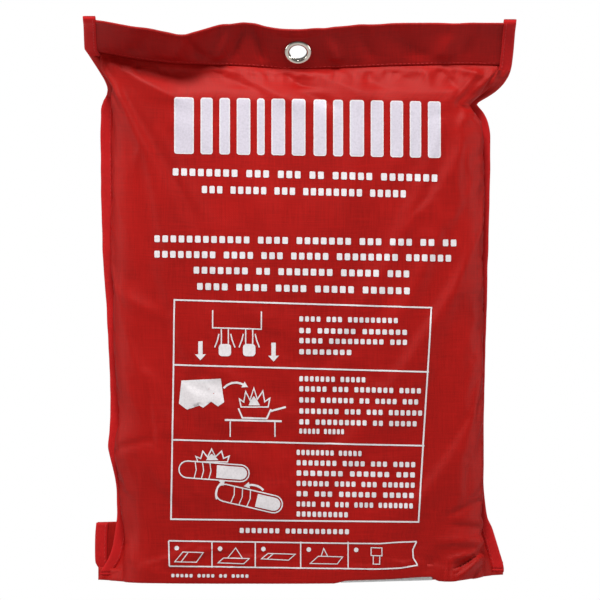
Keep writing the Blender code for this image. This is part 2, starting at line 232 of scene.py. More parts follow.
def grid_normals(grid):
    normal = np.cross(np.gradient(grid, axis=0), np.gradient(grid, axis=1))
    length = np.linalg.norm(normal, axis=2, keepdims=True)
    return normal / np.maximum(length, 1e-9)


def cloth_places(grid):
    """How far along the cloth the columns and the rows are, on average: their places in the flat cut."""
    steps = [np.linalg.norm(np.diff(grid, axis=axis), axis=2).mean(1 - axis) for axis in (1, 0)]
    return [np.concatenate([[0], np.cumsum(step)]) for step in steps]


def thick_grid(name, grid, thickness, places=None):
    """A closed sheet round a grid of points. Returns the object and its flat size in metres."""
    rows, columns, _ = grid.shape
    normal = grid_normals(grid)
    top = (grid + normal * thickness / 2).reshape(-1, 3)
    foot = (grid - normal * thickness / 2).reshape(-1, 3)
    count = rows * columns
    faces = grid_faces(rows, columns) + grid_faces(rows, columns, count, True)
    first = [r * columns for r in range(rows)]
    last = [r * columns + columns - 1 for r in range(rows)]
    edges = [list(range(columns)), last, list(range(count - columns, count))[::-1], first[::-1]]
    for edge in edges:
        for a, b in zip(edge, edge[1:]):
            faces.append((a, b, b + count, a + count))
    u, v = places or cloth_places(grid)
    uv = np.stack(np.broadcast_arrays(u[None, :], -v[:, None]), -1).reshape(-1, 2)
    obj = add_mesh(name, np.concatenate([top, foot]), faces, np.concatenate([uv, uv]))
    return obj, (float(u[-1]) * MM, float(v[-1]) * MM)


def fit_out(obj, body, slot, *nodes, material=None):
    """Gives a piece its body, unless it blends, its finish and the CAD nodes that it stands for."""
    if body:
        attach(obj, body)
    if nodes:
        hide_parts(*nodes)
    obj.data.materials.clear()
    obj.data.materials.append(MATERIALS[material or slot])
    return obj


def wobble(grid, size, scale, seed):
    """A soft random displacement for each point of a grid, in millimetres."""
    flat = grid.reshape(-1, 3) / scale
    shift = Vector((seed * 17.3, seed * 5.1, seed * 9.7))
    values = [noise.noise(Vector(p) + shift) for p in flat]
    return size * np.array(values).reshape(grid.shape[:2])


def apply_boolean(obj, cutter):
    cut = obj.modifiers.new("Cut", "BOOLEAN")
    cut.operation = "DIFFERENCE"
    cut.solver = "EXACT"
    cut.object = cutter
    graph = bpy.context.evaluated_depsgraph_get()
    mesh = bpy.data.meshes.new_from_object(obj.evaluated_get(graph))
    obj.modifiers.clear()
    obj.data = mesh


# ---------------------------------------------------------------- folds of the front cloth


def fold(x, z, start, end, height, width, sharp=0.0):
    """A ridge along the line from start to end, in x and z. Negative heights are valleys."""
    start, end = np.array(start, float), np.array(end, float)
    line = end - start
    length = np.linalg.norm(line)
    along = ((x - start[0]) * line[0] + (z - start[1]) * line[1]) / length**2
    off = ((x - start[0]) * line[1] - (z - start[1]) * line[0]) / length
    reach = np.clip(along, 0, 1)
    past = (along - reach) * length
    distance = np.sqrt(off**2 + past**2) / width
    taper = np.clip(np.sin(math.pi * np.clip(0.12 + 0.76 * reach, 0, 1)), 0, 1)
    shape = np.exp(-(distance**2)) * (1 - sharp) + np.exp(-distance * 1.6) * sharp
    return height * shape * taper


# start, end, height, width and sharpness of each fold
FOLDS = (
    # the top left corner: one long soft ridge with a hollow above it
    ((-150, -2), (-86, -36), 3.6, 7, 0.4),
    ((-136, -4), (-78, -20), -1.4, 7, 0.2),
    ((-104, -14), (-66, -16), -0.8, 4, 0.3),
    ((-110, -40), (-70, -62), 1.2, 9, 0.0),
    ((-143, -14), (-130, -40), 1.8, 4, 0.3),
    # pulls under the header's seam
    ((-62, -14), (-26, -30), -2.0, 5, 0.4),
    ((-50, -13), (0, -38), 1.6, 6, 0.3),
    ((-16, -13), (28, -40), -3.0, 5, 0.5),
    ((2, -12), (52, -30), 2.0, 6, 0.3),
    ((40, -11), (70, -30), -1.2, 5, 0.3),
    ((58, -10), (84, -20), -1.4, 4, 0.4),
    ((92, -9), (98, -24), 1.0, 3.5, 0.5),
    ((102, -9), (118, -26), -1.8, 4, 0.5),
    ((118, -10), (140, -18), 2.0, 3.5, 0.4),
    # the pinch at the right notch
    ((150, -15), (132, -37), 3.2, 5, 0.3),
    ((146, -24), (126, -33), -2.6, 3.5, 0.5),
    ((133, -38), (96, -48), -1.2, 5, 0.4),
    ((134, -41), (116, -58), 0.9, 5, 0.2),
    # the left side
    ((-146, -88), (-134, -84), 0.7, 2.5, 0.4),
    ((-138, -178), (-100, -196), 1.3, 6, 0.2),
    ((-139, -158), (-112, -176), -0.8, 7, 0.1),
    ((-119, -200), (-116, -232), -0.9, 4, 0.3),
    ((-113, -250), (-109, -288), -0.9, 4, 0.3),
    ((-134, -292), (-112, -286), -1.0, 4, 0.4),
    ((-128, -330), (-116, -372), -1.2, 6, 0.2),
    ((-126, -374), (-96, -390), 1.0, 7, 0.1),
    # the right side
    ((136, -120), (120, -180), 0.7, 8, 0.0),
    ((134, -230), (118, -300), -0.7, 8, 0.0),
    ((137, -331), (112, -342), -1.4, 4, 0.4),
    ((100, -330), (84, -372), -0.8, 7, 0.1),
    # its lower corner, where the creases run out from the nip in the side wall
    ((138, -352), (112, -350), -1.8, 3.5, 0.5),
    ((139, -360), (104, -362), 1.6, 4, 0.4),
    ((140, -367), (113, -376), 2.5, 2.8, 0.7),
    ((137, -369), (114, -384), -3.2, 3.0, 0.6),
    ((141, -369), (117, -390), 3.1, 2.8, 0.7),
    ((139, -376), (126, -393), -2.4, 2.6, 0.6),
    ((113, -375), (110, -396), 1.9, 3.0, 0.6),
    ((104, -372), (92, -386), -1.2, 5, 0.3),
)


def folds(x, z, table):
    return sum(fold(x, z, *row) for row in table)


# ---------------------------------------------------------------- header


HEADER_FOLDS = (
    ((-126, -6), (-108, 14), -0.9, 7, 0.2),
    ((-98, -8), (-84, 10), 1.3, 6, 0.4),
    ((-84, 9), (-64, -10), -1.2, 5, 0.4),
    ((-62, -8), (-50, 19), 1.6, 5, 0.5),
    ((-40, 18), (-52, -9), -1.0, 4, 0.4),
    ((-24, -9), (-32, 16), -1.2, 4, 0.4),
    ((30, -8), (20, 14), 1.4, 5, 0.4),
    ((46, 16), (58, -8), -1.0, 6, 0.3),
    ((96, -7), (70, 16), -1.2, 8, 0.3),
    ((104, -7), (114, 15), 1.2, 7, 0.4),
    ((128, 16), (120, -6), -0.7, 6, 0.2),
)


def header_angles(x):
    """The header's lean at its seam, which gives its top edge the right height."""
    rise = np.clip((HEADER_TOP_Z(x) - HEADER_SEAM_Z(x)) / HEADER_HEIGHT, 0.3, 0.97)
    return np.arccos(rise) - HEADER_CURL / 5


def header_curl(share):
    """How far the header has turned forward. Past its top edge the tapes' free ends turn back up."""
    return HEADER_CURL * np.minimum(share, 1) ** 4 - 4 * np.maximum(share - 1, 0)


def header_seam_y(x):
    return SEAM_Y - 0.5 * (HEADER_SEAM_Z(x) - SEAM_Z) * math.tan(LEAN)


def header_surface(x, up):
    """Points and back normals of the header's middle surface; up is a share of its height."""
    steps = 24
    x, up = np.broadcast_arrays(np.asarray(x, float), np.asarray(up, float))
    start = header_angles(x)
    y, z = header_seam_y(x).copy(), HEADER_SEAM_Z(x).copy()
    for i in range(steps):
        share = up * (i + 0.5) / steps
        angle = start + header_curl(share)
        y = y - np.sin(angle) * up * HEADER_HEIGHT / steps
        z = z + np.cos(angle) * up * HEADER_HEIGHT / steps
    angle = start + header_curl(up)
    near_eyelet = np.exp(-((x / 17) ** 6)) * smooth((0.88 - up) / 0.14)
    flat_y = SEAM_Y - up * HEADER_HEIGHT * math.sin(LEAN)
    flat_z = SEAM_Z + up * HEADER_HEIGHT * math.cos(LEAN)
    y = y + (flat_y - y) * near_eyelet
    z = z + (flat_z - z) * near_eyelet
    angle = angle + (LEAN - angle) * near_eyelet
    normal = np.stack([0 * y, np.cos(angle), np.sin(angle)], -1)
    return np.stack([x, y, z], -1), normal


def ply_offset(x, up):
    """Half the distance between the header's plies, which the eyelet presses together."""
    pressed = np.exp(-((np.hypot(x, (up - EYELET_UP) * HEADER_HEIGHT) / 16) ** 6))
    return HEADER_PLY * (1 - 0.45 * smooth((up - 0.35) / 0.6)) * (1 - pressed) + EYELET_PLY * pressed


def header_ripple(point, up):
    """Ripples, which stop short of the eyelet, and folds along one row of the header, faded at its seam."""
    x, _, z = point.T
    ripple = wobble(point[None] * (1, 0.2, 0.6), 0.7, 26, 3)[0] * smooth((abs(x) - 14) / 16)
    return (ripple + 2.3 * folds(x, z, HEADER_FOLDS)) * smooth((up - 0.07) / 0.22)


def header_band():
    foot, crease = 0.012, 0.982
    section = [(up, -1) for up in np.linspace(foot, crease, 34)]
    section += [(crease + 0.018 * math.cos(a), math.sin(a)) for a in np.linspace(-1.2, 1.2, 7)]
    section += [(up, 1) for up in np.linspace(crease, foot, 34)]
    share = np.linspace(0, 1, 180)
    rows = []
    for up, out in section:
        middle, _ = header_surface(-150 + 301 * share, up)
        left = LEFT_OUTER(middle[:, 2]) + EDGE_INSET
        right = RIGHT_OUTER(middle[:, 2]) - EDGE_INSET
        point, normal = header_surface(left + (right - left) * share, up)
        offset = out * ply_offset(point[:, 0], up) - header_ripple(point, up)
        rows.append(point + normal * offset[:, None])
    obj, flat = thick_grid("header_cloth_band", np.array(rows), CLOTH)
    cutter = eyelet_cutter()
    apply_boolean(obj, cutter)
    bpy.data.objects.remove(cutter)
    return fit_out(obj, "pouch", "header_cloth", "header_band")


def eyelet_frame():
    """Axes of the eyelet: x, up the header, and out of its back."""
    up = Vector((0, -math.sin(LEAN), math.cos(LEAN)))
    back = Vector((0, math.cos(LEAN), math.sin(LEAN)))
    return Matrix((Vector((1, 0, 0)), up, back)).transposed()


def eyelet_cutter():
    bm = bmesh.new()
    radius = 6.95 * MM
    bmesh.ops.create_cone(bm, cap_ends=True, segments=64, radius1=radius, radius2=radius, depth=20 * MM)
    bmesh.ops.transform(bm, matrix=eyelet_frame().to_4x4(), verts=bm.verts)
    bmesh.ops.recalc_face_normals(bm, faces=bm.faces)
    return link_bmesh("eyelet_cutter", bm)


# ---------------------------------------------------------------- body of the pouch

# how far below the header's seam each row of a panel is: tucked into the header, on the shoulder, and on
FRONT_LOW, BACK_LOW = SEAM_Z - MOUTH_Z, SEAM_Z - HINGE_FOOT_Z
FRONT_DROPS = np.concatenate([
    SEAM_TUCK, np.linspace(0, 30, 34), np.linspace(30, 310, 112)[1:], np.linspace(310, FRONT_LOW, 42)[1:],
])
BACK_DROPS = np.concatenate([SEAM_TUCK, np.linspace(0, 30, 16), np.linspace(30, BACK_LOW, 90)[1:]])


def panel_z(x, drop, low, foot, ease):
    """Height of a panel's cloth at a drop below the header's seam, eased by ease into its foot."""
    lift = (HEADER_SEAM_Z(x) - SEAM_Z) * np.exp(-((np.maximum(drop, 0) / 42) ** 2))
    return SEAM_Z - drop + lift + foot * smooth((drop - (low - ease)) / ease)


def front_z(x, drop):
    return panel_z(x, drop, FRONT_LOW, MOUTH_EDGE_Z(x) - MOUTH_Z, 30)


def back_z(x, drop):
    return panel_z(x, drop, BACK_LOW, FOLD_Z(x) + FOLD_RADIUS - HINGE_FOOT_Z, 40)


def side_y(x, z):
    share = np.clip((x + 145) / 290, 0, 1)
    return LEFT_SIDE_Y(z) * (1 - share) + RIGHT_SIDE_Y(z) * share


def base_y(x, z, drop):
    """Depth of the pouch's middle surface, from the header's seam to the side seams."""
    side = side_y(x, z)
    return side + (header_seam_y(x) - side) * (1 - smooth(np.maximum(drop, 0) / 24))


def opening(drop):
    """Share of the full bulge at a drop below the header's seam."""
    return np.sin(math.pi / 2 * np.clip(drop / SHOULDER, 0, 1))


WALL_SHARE, CORNER_REACH = 0.42, 20


def across_profile(z):
    """x and share of the bulge for one row, from the left edge to the right: side walls, corners and face."""
    parts = []
    for outer, bulge, side in ((LEFT_OUTER(z), LEFT_BULGE(z), -1), (RIGHT_OUTER(z), RIGHT_BULGE(z), 1)):
        edge = outer - side * EDGE_INSET
        foot = outer - side * (BINDING_WIDTH - 0.2)
        part = [(edge + (foot - edge) * t, 0.0) for t in (0, 0.5, 1)]
        for t in np.linspace(0, 1, 8)[1:]:
            part.append((foot + (bulge - foot) * float(smooth(t)), WALL_SHARE * t))
        for a in np.linspace(0, math.pi / 2, 16)[1:]:
            share = WALL_SHARE + (1 - WALL_SHARE) * math.sin(a) ** 0.85
            part.append((bulge - side * CORNER_REACH * (1 - math.cos(a)) ** 0.9, share))
        parts.append(part)
    left, right = parts[0], parts[1][::-1]
    span = np.linspace(left[-1][0], right[0][0], 106)[1:-1]
    return np.array(left + [(x, 1.0) for x in span] + right)


def front_rows():
    """The front panel's smooth shape, row by row, before its folds."""
    rows = []
    for drop in FRONT_DROPS:
        profile = across_profile(float(SEAM_Z - max(drop, 0)))
        for _ in range(2):
            z = front_z(profile[:, 0], drop)
            profile = np.array([across_profile(float(level))[i] for i, level in enumerate(z)])
        x, share = profile.T
        z = front_z(x, drop)
        base = base_y(x, z, drop) - PITCH / 2
        if drop < 0:
            point, normal = header_surface(x, -drop / HEADER_HEIGHT)
            rows.append(point - normal * PITCH / 2)
            continue
        crown = FRONT_EDGE_Y - CROWN * (1 - np.clip(x / 125, -1, 1) ** 2)
        crown -= 0.8 * math.sin(math.pi * drop / 380)
        y = base + (crown - base) * opening(drop) * share
        rows.append(np.stack([x, y, z], -1))
    return np.array(rows)


SETTLE_FRAMES = 22
FREE_SHARE = 0.97
CLOTH_SETTINGS = {
    "quality": 6, "mass": 0.02, "air_damping": 4, "tension_stiffness": 12, "compression_stiffness": 12,
    "shear_stiffness": 4, "bending_stiffness": 0.02, "use_pressure": True, "vertex_group_mass": "held",
}


def settle(grid, held, growth, pressure, limit):
    """Lets a sheet settle as cloth: held points stay, and the rest may move at most limit millimetres."""
    obj = add_mesh("settling_cloth", grid.reshape(-1, 3), grid_faces(*grid.shape[:2]))
    group = obj.vertex_groups.new(name="held")
    for index, weight in enumerate(held.ravel()):
        if weight > 0:
            group.add([index], float(weight), "REPLACE")
    cloth = obj.modifiers.new("Cloth", "CLOTH")
    for setting, value in CLOTH_SETTINGS.items():
        setattr(cloth.settings, setting, value)
    cloth.settings.shrink_min = -growth
    cloth.settings.uniform_pressure_force = pressure
    cloth.settings.effector_weights.gravity = 0.3
    cloth.collision_settings.use_collision = False
    scene = bpy.context.scene
    for frame_number in range(1, SETTLE_FRAMES + 1):
        scene.frame_set(frame_number)
    settled = obj.evaluated_get(bpy.context.evaluated_depsgraph_get())
    points = np.empty(len(settled.data.vertices) * 3)
    settled.data.vertices.foreach_get("co", points)
    obj.modifiers.clear()
    bpy.data.objects.remove(obj)
    scene.frame_set(1)
    moved = points.reshape(grid.shape) / MM - grid
    length = np.linalg.norm(moved, axis=2, keepdims=True)
    return grid + moved * np.tanh(length / limit) * limit / np.maximum(length, 1e-6)


PACK_CLEARANCE, PACK_ROUNDING, CLAMP_SHARPNESS = 0.75, 6.0, 1.6


def clear_of_pack(grid, face):
    """Keeps a panel's cloth outside the folded blanket, whose edges are rounded."""
    x, z = grid[..., 0], grid[..., 2]
    inside = np.minimum.reduce([x - PACK_LOW[0], PACK_HIGH[0] - x, z - PACK_LOW[2], PACK_HIGH[2] - z])
    short = np.clip(PACK_ROUNDING - inside, 0, PACK_ROUNDING)
    recede = PACK_ROUNDING - np.sqrt(PACK_ROUNDING**2 - short**2) + 40 * np.clip(-inside / 4, 0, 1)
    surface = (PACK_LOW[1] if face < 0 else PACK_HIGH[1]) + face * (PACK_CLEARANCE - recede)
    room = face * (grid[..., 1] - surface)
    grid[..., 1] = surface + face * np.logaddexp(0, room * CLAMP_SHARPNESS) / CLAMP_SHARPNESS


def front_cloth():
    grid = front_rows()
    drops = FRONT_DROPS[:, None]
    share = np.clip(abs(grid[..., 1] - SIDE_Y) / 12, 0, 1)
    creases = folds(grid[..., 0], grid[..., 2], FOLDS)
    relief = 0.5 * creases + wobble(grid * (1, 0.3, 0.55), 1.1, 46, 1)
    relief += wobble(grid * (1, 0.3, 0.7), 0.5, 17, 2)
    # puckers just under the header's seam
    relief += wobble(grid * (1, 0.3, 0.15), 1.5, 7, 4) * np.exp(-(((drops - 3) / 7) ** 2))
    inside = smooth((drops - 1) / 6)
    grid[..., 1] -= relief * share * inside
    free = smooth((SIDE_Y - grid[..., 1] - 1.0) / 8) * inside * smooth((drops[-1] - drops) / 14)
    limit = 2.6 - 1.9 * smooth((drops - drops[-1] + 75) / 35)[..., None]
    grid = settle(grid[:, ::-1], 1 - FREE_SHARE * free[:, ::-1], 0.022, 0.5, limit)[:, ::-1]
    grid[..., 1] -= 0.75 * creases * share * inside
    clear_of_pack(grid, -1)
    inward = -grid_normals(grid)[-1]
    inward *= np.where(inward[:, 1:2] < -0.2, -1, 1)
    grid = np.concatenate([grid, turned_hem(grid[-1], inward, 0.95, -1)])
    obj, flat = thick_grid("front_cloth", grid, CLOTH_SEEN)
    return fit_out(obj, "pouch", "red_cloth", "front_panel")


def turned_hem(last, inward, gap, way):
    """Rows that go on from a last row: a small U turn, up or down by way, and a ply back behind it."""
    turn = [(gap / 2 * (1 - math.cos(a)), gap / 2 * math.sin(a)) for a in np.radians((45, 90, 135))]
    ply = [(gap, -along) for along in (0, 3, 6, 9)]
    return np.array([last + inward * out + np.array((0, 0, way * along)) for out, along in turn + ply])


def back_rows():
    """The back panel's smooth shape, row by row."""
    t = np.linspace(0, 1, 92)
    rows = []
    for drop in BACK_DROPS:
        z = float(SEAM_Z - max(drop, 0))
        for _ in range(3):
            left, right = LEFT_OUTER(z) + EDGE_INSET, RIGHT_OUTER(z) - EDGE_INSET
            x = left + t * (right - left)
            z = back_z(x, drop)
        if drop < 0:
            point, normal = header_surface(x, -drop / HEADER_HEIGHT)
            rows.append(point + normal * PITCH / 2)
            continue
        margin = np.minimum(x - left, right - x)
        share = smooth((margin - BINDING_WIDTH + 1) / 22)
        base = base_y(x, z, drop) + PITCH / 2
        y = base + (BACK_Y - base) * opening(drop) * share
        rows.append(np.stack([x, y, z], -1))
    return np.array(rows)


BACK_SWELL = 1.6


def back_cloth(fold_piece):
    grid = back_rows()
    drop = SEAM_Z - grid[..., 2]
    upper = 1 - smooth((-grid[..., 2] - 330) / 20)
    relief = wobble(grid * (1, 0.3, 0.5), 0.5, 50, 5) - 0.5 + wobble(grid * (1, 0.3, 0.7), 0.2, 18, 6)
    relief += folds(-grid[..., 0], grid[..., 2], FOLDS) * 0.5 * smooth((90 - drop) / 30)
    edge = smooth((155 - abs(grid[..., 0])) / 24) * smooth((drop - 3) / 14)
    grid[..., 1] += np.clip(relief, -0.9, 0.9) * edge * upper
    free = edge * upper * smooth((drop - 2) / 8)
    grid = settle(grid, 1 - FREE_SHARE * free, 0.018, -0.5, BACK_SWELL)
    grid[..., 1] = np.minimum(grid[..., 1], BACK_Y + BACK_SWELL * upper)
    clear_of_pack(grid, 1)
    obj, flat = thick_grid("back_cloth", grid, CLOTH_SEEN)
    return fit_out(obj, "pouch", "red_cloth", "back_panel")


# ---------------------------------------------------------------- bindings

# half of the tape's cross-section, from one edge to its turn: distance in from the outer edge, and share of
# its half thickness
HALF_SECTION = (
    (BINDING_WIDTH, 1), (7.6, 1), (6.0, 1), (4.2, 1), (2.6, 1), (1.3, 0.99), (0.45, 0.82), (0.05, 0.42),
)
U_SECTION = [(x, -out) for x, out in HALF_SECTION] + [(0, 0)] + list(HALF_SECTION[::-1])


def side_path(side):
    """Stations down one side seam: x of the outer edge, depth, height, back normal and half thickness."""
    outer, depth, top = (LEFT_OUTER, LEFT_SIDE_Y, 1.13) if side < 0 else (RIGHT_OUTER, RIGHT_SIDE_Y, 1.1)
    near = 153.0 * side
    stations = []
    for up in np.linspace(top, 0, 26):
        point, normal = header_surface(near, up)
        half = 2.2 - 1.75 * float(smooth((up - 1.02) / (top - 1.02)))
        stations.append((outer(point[2]), point[1], point[2], normal[1], normal[2], half))
    start = stations[-1][2]
    low = float(FOLD_Z(outer(CORNER_Z))) + 1.4
    for z in np.concatenate([start - np.array([1.5, 3, 4.5, 6, 8]), np.linspace(start - 10, low, 190)]):
        slope = (depth(z + 1) - depth(z - 1)) / 2
        length = math.hypot(1, slope)
        half = 1.3 + 0.9 * float(smooth((z - start + 8) / 8))
        stations.append((outer(z), depth(z), z, 1 / length, -slope / length, half))
    stations = np.array(stations, float)
    # evens out the bend at the header's seam
    kernel = np.array([1, 2, 3, 4, 3, 2, 1]) / 16
    bend = slice(15, 44)
    for column in (1, 3, 4, 5):
        stations[bend, column] = np.convolve(stations[:, column], kernel, "same")[bend]
    return stations


def tape_rows(side, stations):
    """The tape's cross-section at each station."""
    return np.array([
        [(x - side * inset, y + normal_y * half * out, z + normal_z * half * out) for inset, out in U_SECTION]
        for x, y, z, normal_y, normal_z, half in stations
    ], float)


def tape_piece(name, rows, body, side, *nodes):
    obj, flat = thick_grid(name, rows if side < 0 else rows[:, ::-1], TAPE)
    return fit_out(obj, body, "binding_tape", *nodes), flat


def bindings(flap):
    """Both side tapes, their turns round the fold and their ends up the flap, with their stitches."""
    for side, word in ((-1, "left"), (1, "right")):
        stations = side_path(side)
        rows = tape_rows(side, stations)
        sway = wobble(rows * (0.3, 0.3, 1), 0.35, 14, 8 + side)
        rows[..., 0] += sway * smooth((np.arange(len(rows)) - 2) / 6)[:, None]
        side_tape, side_flat = tape_piece(f"{word}_side_tape", rows, "pouch", side, f"{word}_binding")

        foot_x, foot_z = stations[-1][[0, 2]]
        flap_stations = []
        for z in np.linspace(foot_z, FLAP_HIGH[2] - 0.3, 22):
            x = foot_x + (flap_outer(side, z) - foot_x) * smooth((z - foot_z) / 8)
            flap_stations.append((x, FLAP_Y, z, 1, 0, 0.85))
        flap_stations = np.array(flap_stations, float)
        flap_rows = tape_rows(side, flap_stations)
        sway = wobble(flap_rows * (0.3, 0.3, 1), 0.4, 12, 20 + side)
        flap_rows[..., 0] += sway * smooth((flap_rows[..., 2] - foot_z - 4) / 10)
        replaced = f"flap_{word}_binding"
        flap_tape, flap_flat = tape_piece(f"{word}_flap_tape", flap_rows[::-1], "flap", side, replaced)
        turn = fold_turn(rows[-1], flap_rows[0][::-1])
        turn_tape, _ = tape_piece(f"{word}_fold_tape", turn, None, side)
        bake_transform(turn_tape)
        tape_stitches(word, side, stations[1:], "pouch", f"{word}_binding_stitching")
        tape_stitches(f"{word}_flap", side, flap_stations[2:], "flap")


def fold_turn(start_row, end_row):
    """Rows of a half turn from one row of points, under the hinge, to another."""
    radius = abs(end_row[:, 1] - start_row[:, 1]) / 2
    rows = []
    for angle in np.linspace(0, math.pi, 11):
        row = start_row + (end_row - start_row) * (1 - math.cos(angle)) / 2
        row[:, 2] -= radius * math.sin(angle)
        rows.append(row)
    return np.array(rows)


# ---------------------------------------------------------------- stitches


# a stitch's length, the gap before the next, its thread's radius, and its mesh's rings and sides
STITCH, STITCH_GAP, THREAD_RADIUS = 2.6, 0.7, 0.17
STITCH_RINGS = STITCH_SIDES = 6


def stitch_line(name, points, normals, body, *nodes):
    """One row of stitches: short rounded threads that lie on the cloth and dip in at both ends."""
    points, normals = np.array(points, float), np.array(normals, float)
    run = np.concatenate([[0], np.cumsum(np.linalg.norm(np.diff(points, axis=0), axis=1))])
    verts, faces = [], []
    for i in range(max(1, int(run[-1] // (STITCH + STITCH_GAP)))):
        start = i * (STITCH + STITCH_GAP) + STITCH_GAP / 2
        rings = []
        for t in np.linspace(0, 1, STITCH_RINGS):
            centre, normal = [
                np.array([np.interp(start + t * STITCH, run, column) for column in rows.T])
                for rows in (points, normals)
            ]
            normal /= np.linalg.norm(normal)
            centre += normal * THREAD_RADIUS * (1.25 * math.sin(math.pi * t) - 0.7)
            rings.append((centre, normal, THREAD_RADIUS * (0.55 + 0.45 * math.sin(math.pi * t))))
        along = rings[-1][0] - rings[0][0]
        along /= np.linalg.norm(along)
        first = len(verts)
        for centre, normal, radius in rings:
            across = np.cross(along, normal)
            for k in range(STITCH_SIDES):
                a = 2 * math.pi * k / STITCH_SIDES
                verts.append(centre + radius * (math.cos(a) * across * 1.5 + math.sin(a) * normal))
        faces += ring_faces(STITCH_RINGS, STITCH_SIDES, first)
        faces.append(tuple(range(first, first + STITCH_SIDES))[::-1])
        faces.append(tuple(range(len(verts) - STITCH_SIDES, len(verts))))
    fit_out(add_mesh(name, verts, faces), body, "thread", *nodes)


def tape_stitches(name, side, stations, body, *nodes):
    """A row of stitches on each face of a tape. The front one stands for the nodes."""
    x, y, z, normal_y, normal_z, half = stations.T
    for face, label in ((-1, "front"), (1, "back")):
        out = face * (half + TAPE / 2 + STITCH_CLEARANCE)
        line = (x - side * (BINDING_WIDTH - STITCH_INSET), y + normal_y * out, z + normal_z * out)
        normals = (0 * x, face * normal_y, face * normal_z)
        replaced = nodes if face < 0 else ()
        stitch_line(f"{name}_{label}_stitches", np.stack(line, -1), np.stack(normals, -1), body, *replaced)


def surface_hits(obj):
    tree = BVHTree.FromObject(obj, bpy.context.evaluated_depsgraph_get())

    def hit(x, z, towards=1):
        """Depth and outward normal of the cloth at x and z, seen along +Y, or along -Y."""
        origin = Vector((x * MM, -80 * MM * towards, z * MM))
        place, normal, _, _ = tree.ray_cast(origin, Vector((0, towards, 0)))
        if place is None:
            return None
        return place.y / MM, normal

    return hit


def header_stitches(band):
    hit = surface_hits(band)
    for face, label in ((1, "front"), (-1, "back")):
        points, normals = [], []
        for x in np.linspace(-146, 149, 240):
            middle, _ = header_surface(x, HEADER_STITCH_UP)
            z = float(middle[2]) - face * HEADER_PLY * math.sin(LEAN)
            found = hit(x, z, face)
            if found:
                points.append((x, found[0], z))
                normals.append(tuple(found[1]))
        nodes = ["header_stitching"] if face > 0 else []
        stitch_line(f"header_{label}_stitches", points, normals, "pouch", *nodes)


# ---------------------------------------------------------------- flap


def flap_outer(side, z):
    """Outer edge of the flap's tape: the left one stands out past the side seam, the right one behind it."""
    return FLAP_LEFT(z) if side < 0 else RIGHT_OUTER(z) - 0.8


def flap_grid():
    t = np.linspace(0, 1, 90)
    rows = []
    for s in np.linspace(0, 1, 26):
        z_guess = FLAP_LOW[2] + s * (FLAP_HIGH[2] - FLAP_LOW[2])
        ease = smooth((z_guess - FLAP_LOW[2]) / 8)
        left_foot, right_foot = LEFT_OUTER(CORNER_Z), RIGHT_OUTER(CORNER_Z)
        left = left_foot + (flap_outer(-1, z_guess) - left_foot) * ease + EDGE_INSET
        right = right_foot + (flap_outer(1, z_guess) - right_foot) * ease - EDGE_INSET
        x = left + t * (right - left)
        foot = FOLD_Z(x) + FOLD_RADIUS
        top = FLAP_HIGH[2] + 0.6 * np.sin(x / 23.0) - 0.4
        z = foot + s * (top - foot)
        rows.append(np.stack([x, np.full_like(x, FLAP_Y), z], -1))
    return np.array(rows)


def flap_cloth():
    grid = flap_grid()
    height = smooth((grid[..., 2] - FLAP_LOW[2] - 3) / 12)
    held = smooth((abs(grid[..., 0]) - 116) / 10)
    relief = 0.35 + wobble(grid, 0.5, 24, 11)
    edge = smooth((150 - abs(grid[..., 0])) / 10)
    grid[..., 1] += relief * height * (0.25 + 0.75 * held) * edge
    grid = np.concatenate([grid, turned_hem(grid[-1], np.array((0, 1, 0)), 0.9, 1)])[::-1]
    obj, flat = thick_grid("flap_cloth", grid, CLOTH_SEEN)
    return fit_out(obj, "flap", "red_cloth", "bottom_flap")


def fold_cloth():
    """The cloth that turns from the foot of the back panel into the flap."""
    back_row, flap_row = back_rows()[-1][1:-1], flap_grid()[0]
    share = (back_row[:, 0] - back_row[0, 0]) / (back_row[-1, 0] - back_row[0, 0])
    place, places = share * (len(flap_row) - 1), np.arange(len(flap_row))
    flap_row = np.stack([np.interp(place, places, column) for column in flap_row.T], -1)
    obj, _ = thick_grid("fold_cloth", fold_turn(back_row, flap_row), CLOTH_SEEN)
    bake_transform(obj)
    return fit_out(obj, None, "red_cloth")


# ---------------------------------------------------------------- eyelet


LATHE_STEPS = 128


def lathe(name, profile, node):
    """A ring of metal, from its section in distance out from the eyelet's axis and along it."""
    turn = eyelet_frame()
    verts = []
    for i in range(LATHE_STEPS):
        a = 2 * math.pi * i / LATHE_STEPS
        verts += [turn @ Vector((radius * math.cos(a), radius * math.sin(a), out)) for radius, out in profile]
    faces = ring_faces(LATHE_STEPS, len(profile), wrap=True)
    fit_out(add_mesh(name, verts, faces), "pouch", "eyelet_metal", node)


def circle(x, z, radius, angles):
    return [(x + radius * math.cos(a), z + radius * math.sin(a)) for a in angles]


def arc(centre, radius, start, end, steps):
    return circle(*centre, radius, np.radians(np.linspace(start, end, steps)))


def eyelet():
    face = EYELET_PLY + CLOTH / 2 + 0.06
    # the domed flange in front rolls in to the barrel, and the barrel rolls out over the washer
    dome = arc((8.3, -face), 1.85, 180, 360, 28)
    front = [(radius, -face + (depth + face) * 0.72) for radius, depth in dome]
    front += [(9.9, -face + 0.05), (6.8, -face + 0.05), (6.8, face + 0.5)]
    front += arc((7.35, face + 0.5), 0.55, 180, 0, 8)[1:]
    front += [(8.0, face + 0.4), (8.25, face + 0.44)]
    front += arc((7.35, face + 0.5), 0.9, 0, 180, 12)
    lathe("eyelet_front", front, "eyelet_flange")
    washer = [(6.9, face), (10.1, face), (10.3, face + 0.2)]
    washer += arc((9.75, face + 0.1), 0.5, 0, 90, 6)
    washer += [(8.4, face + 0.34), (6.9, face + 0.34)]
    lathe("eyelet_back", washer, "eyelet_washer")


# ---------------------------------------------------------------- folded blanket

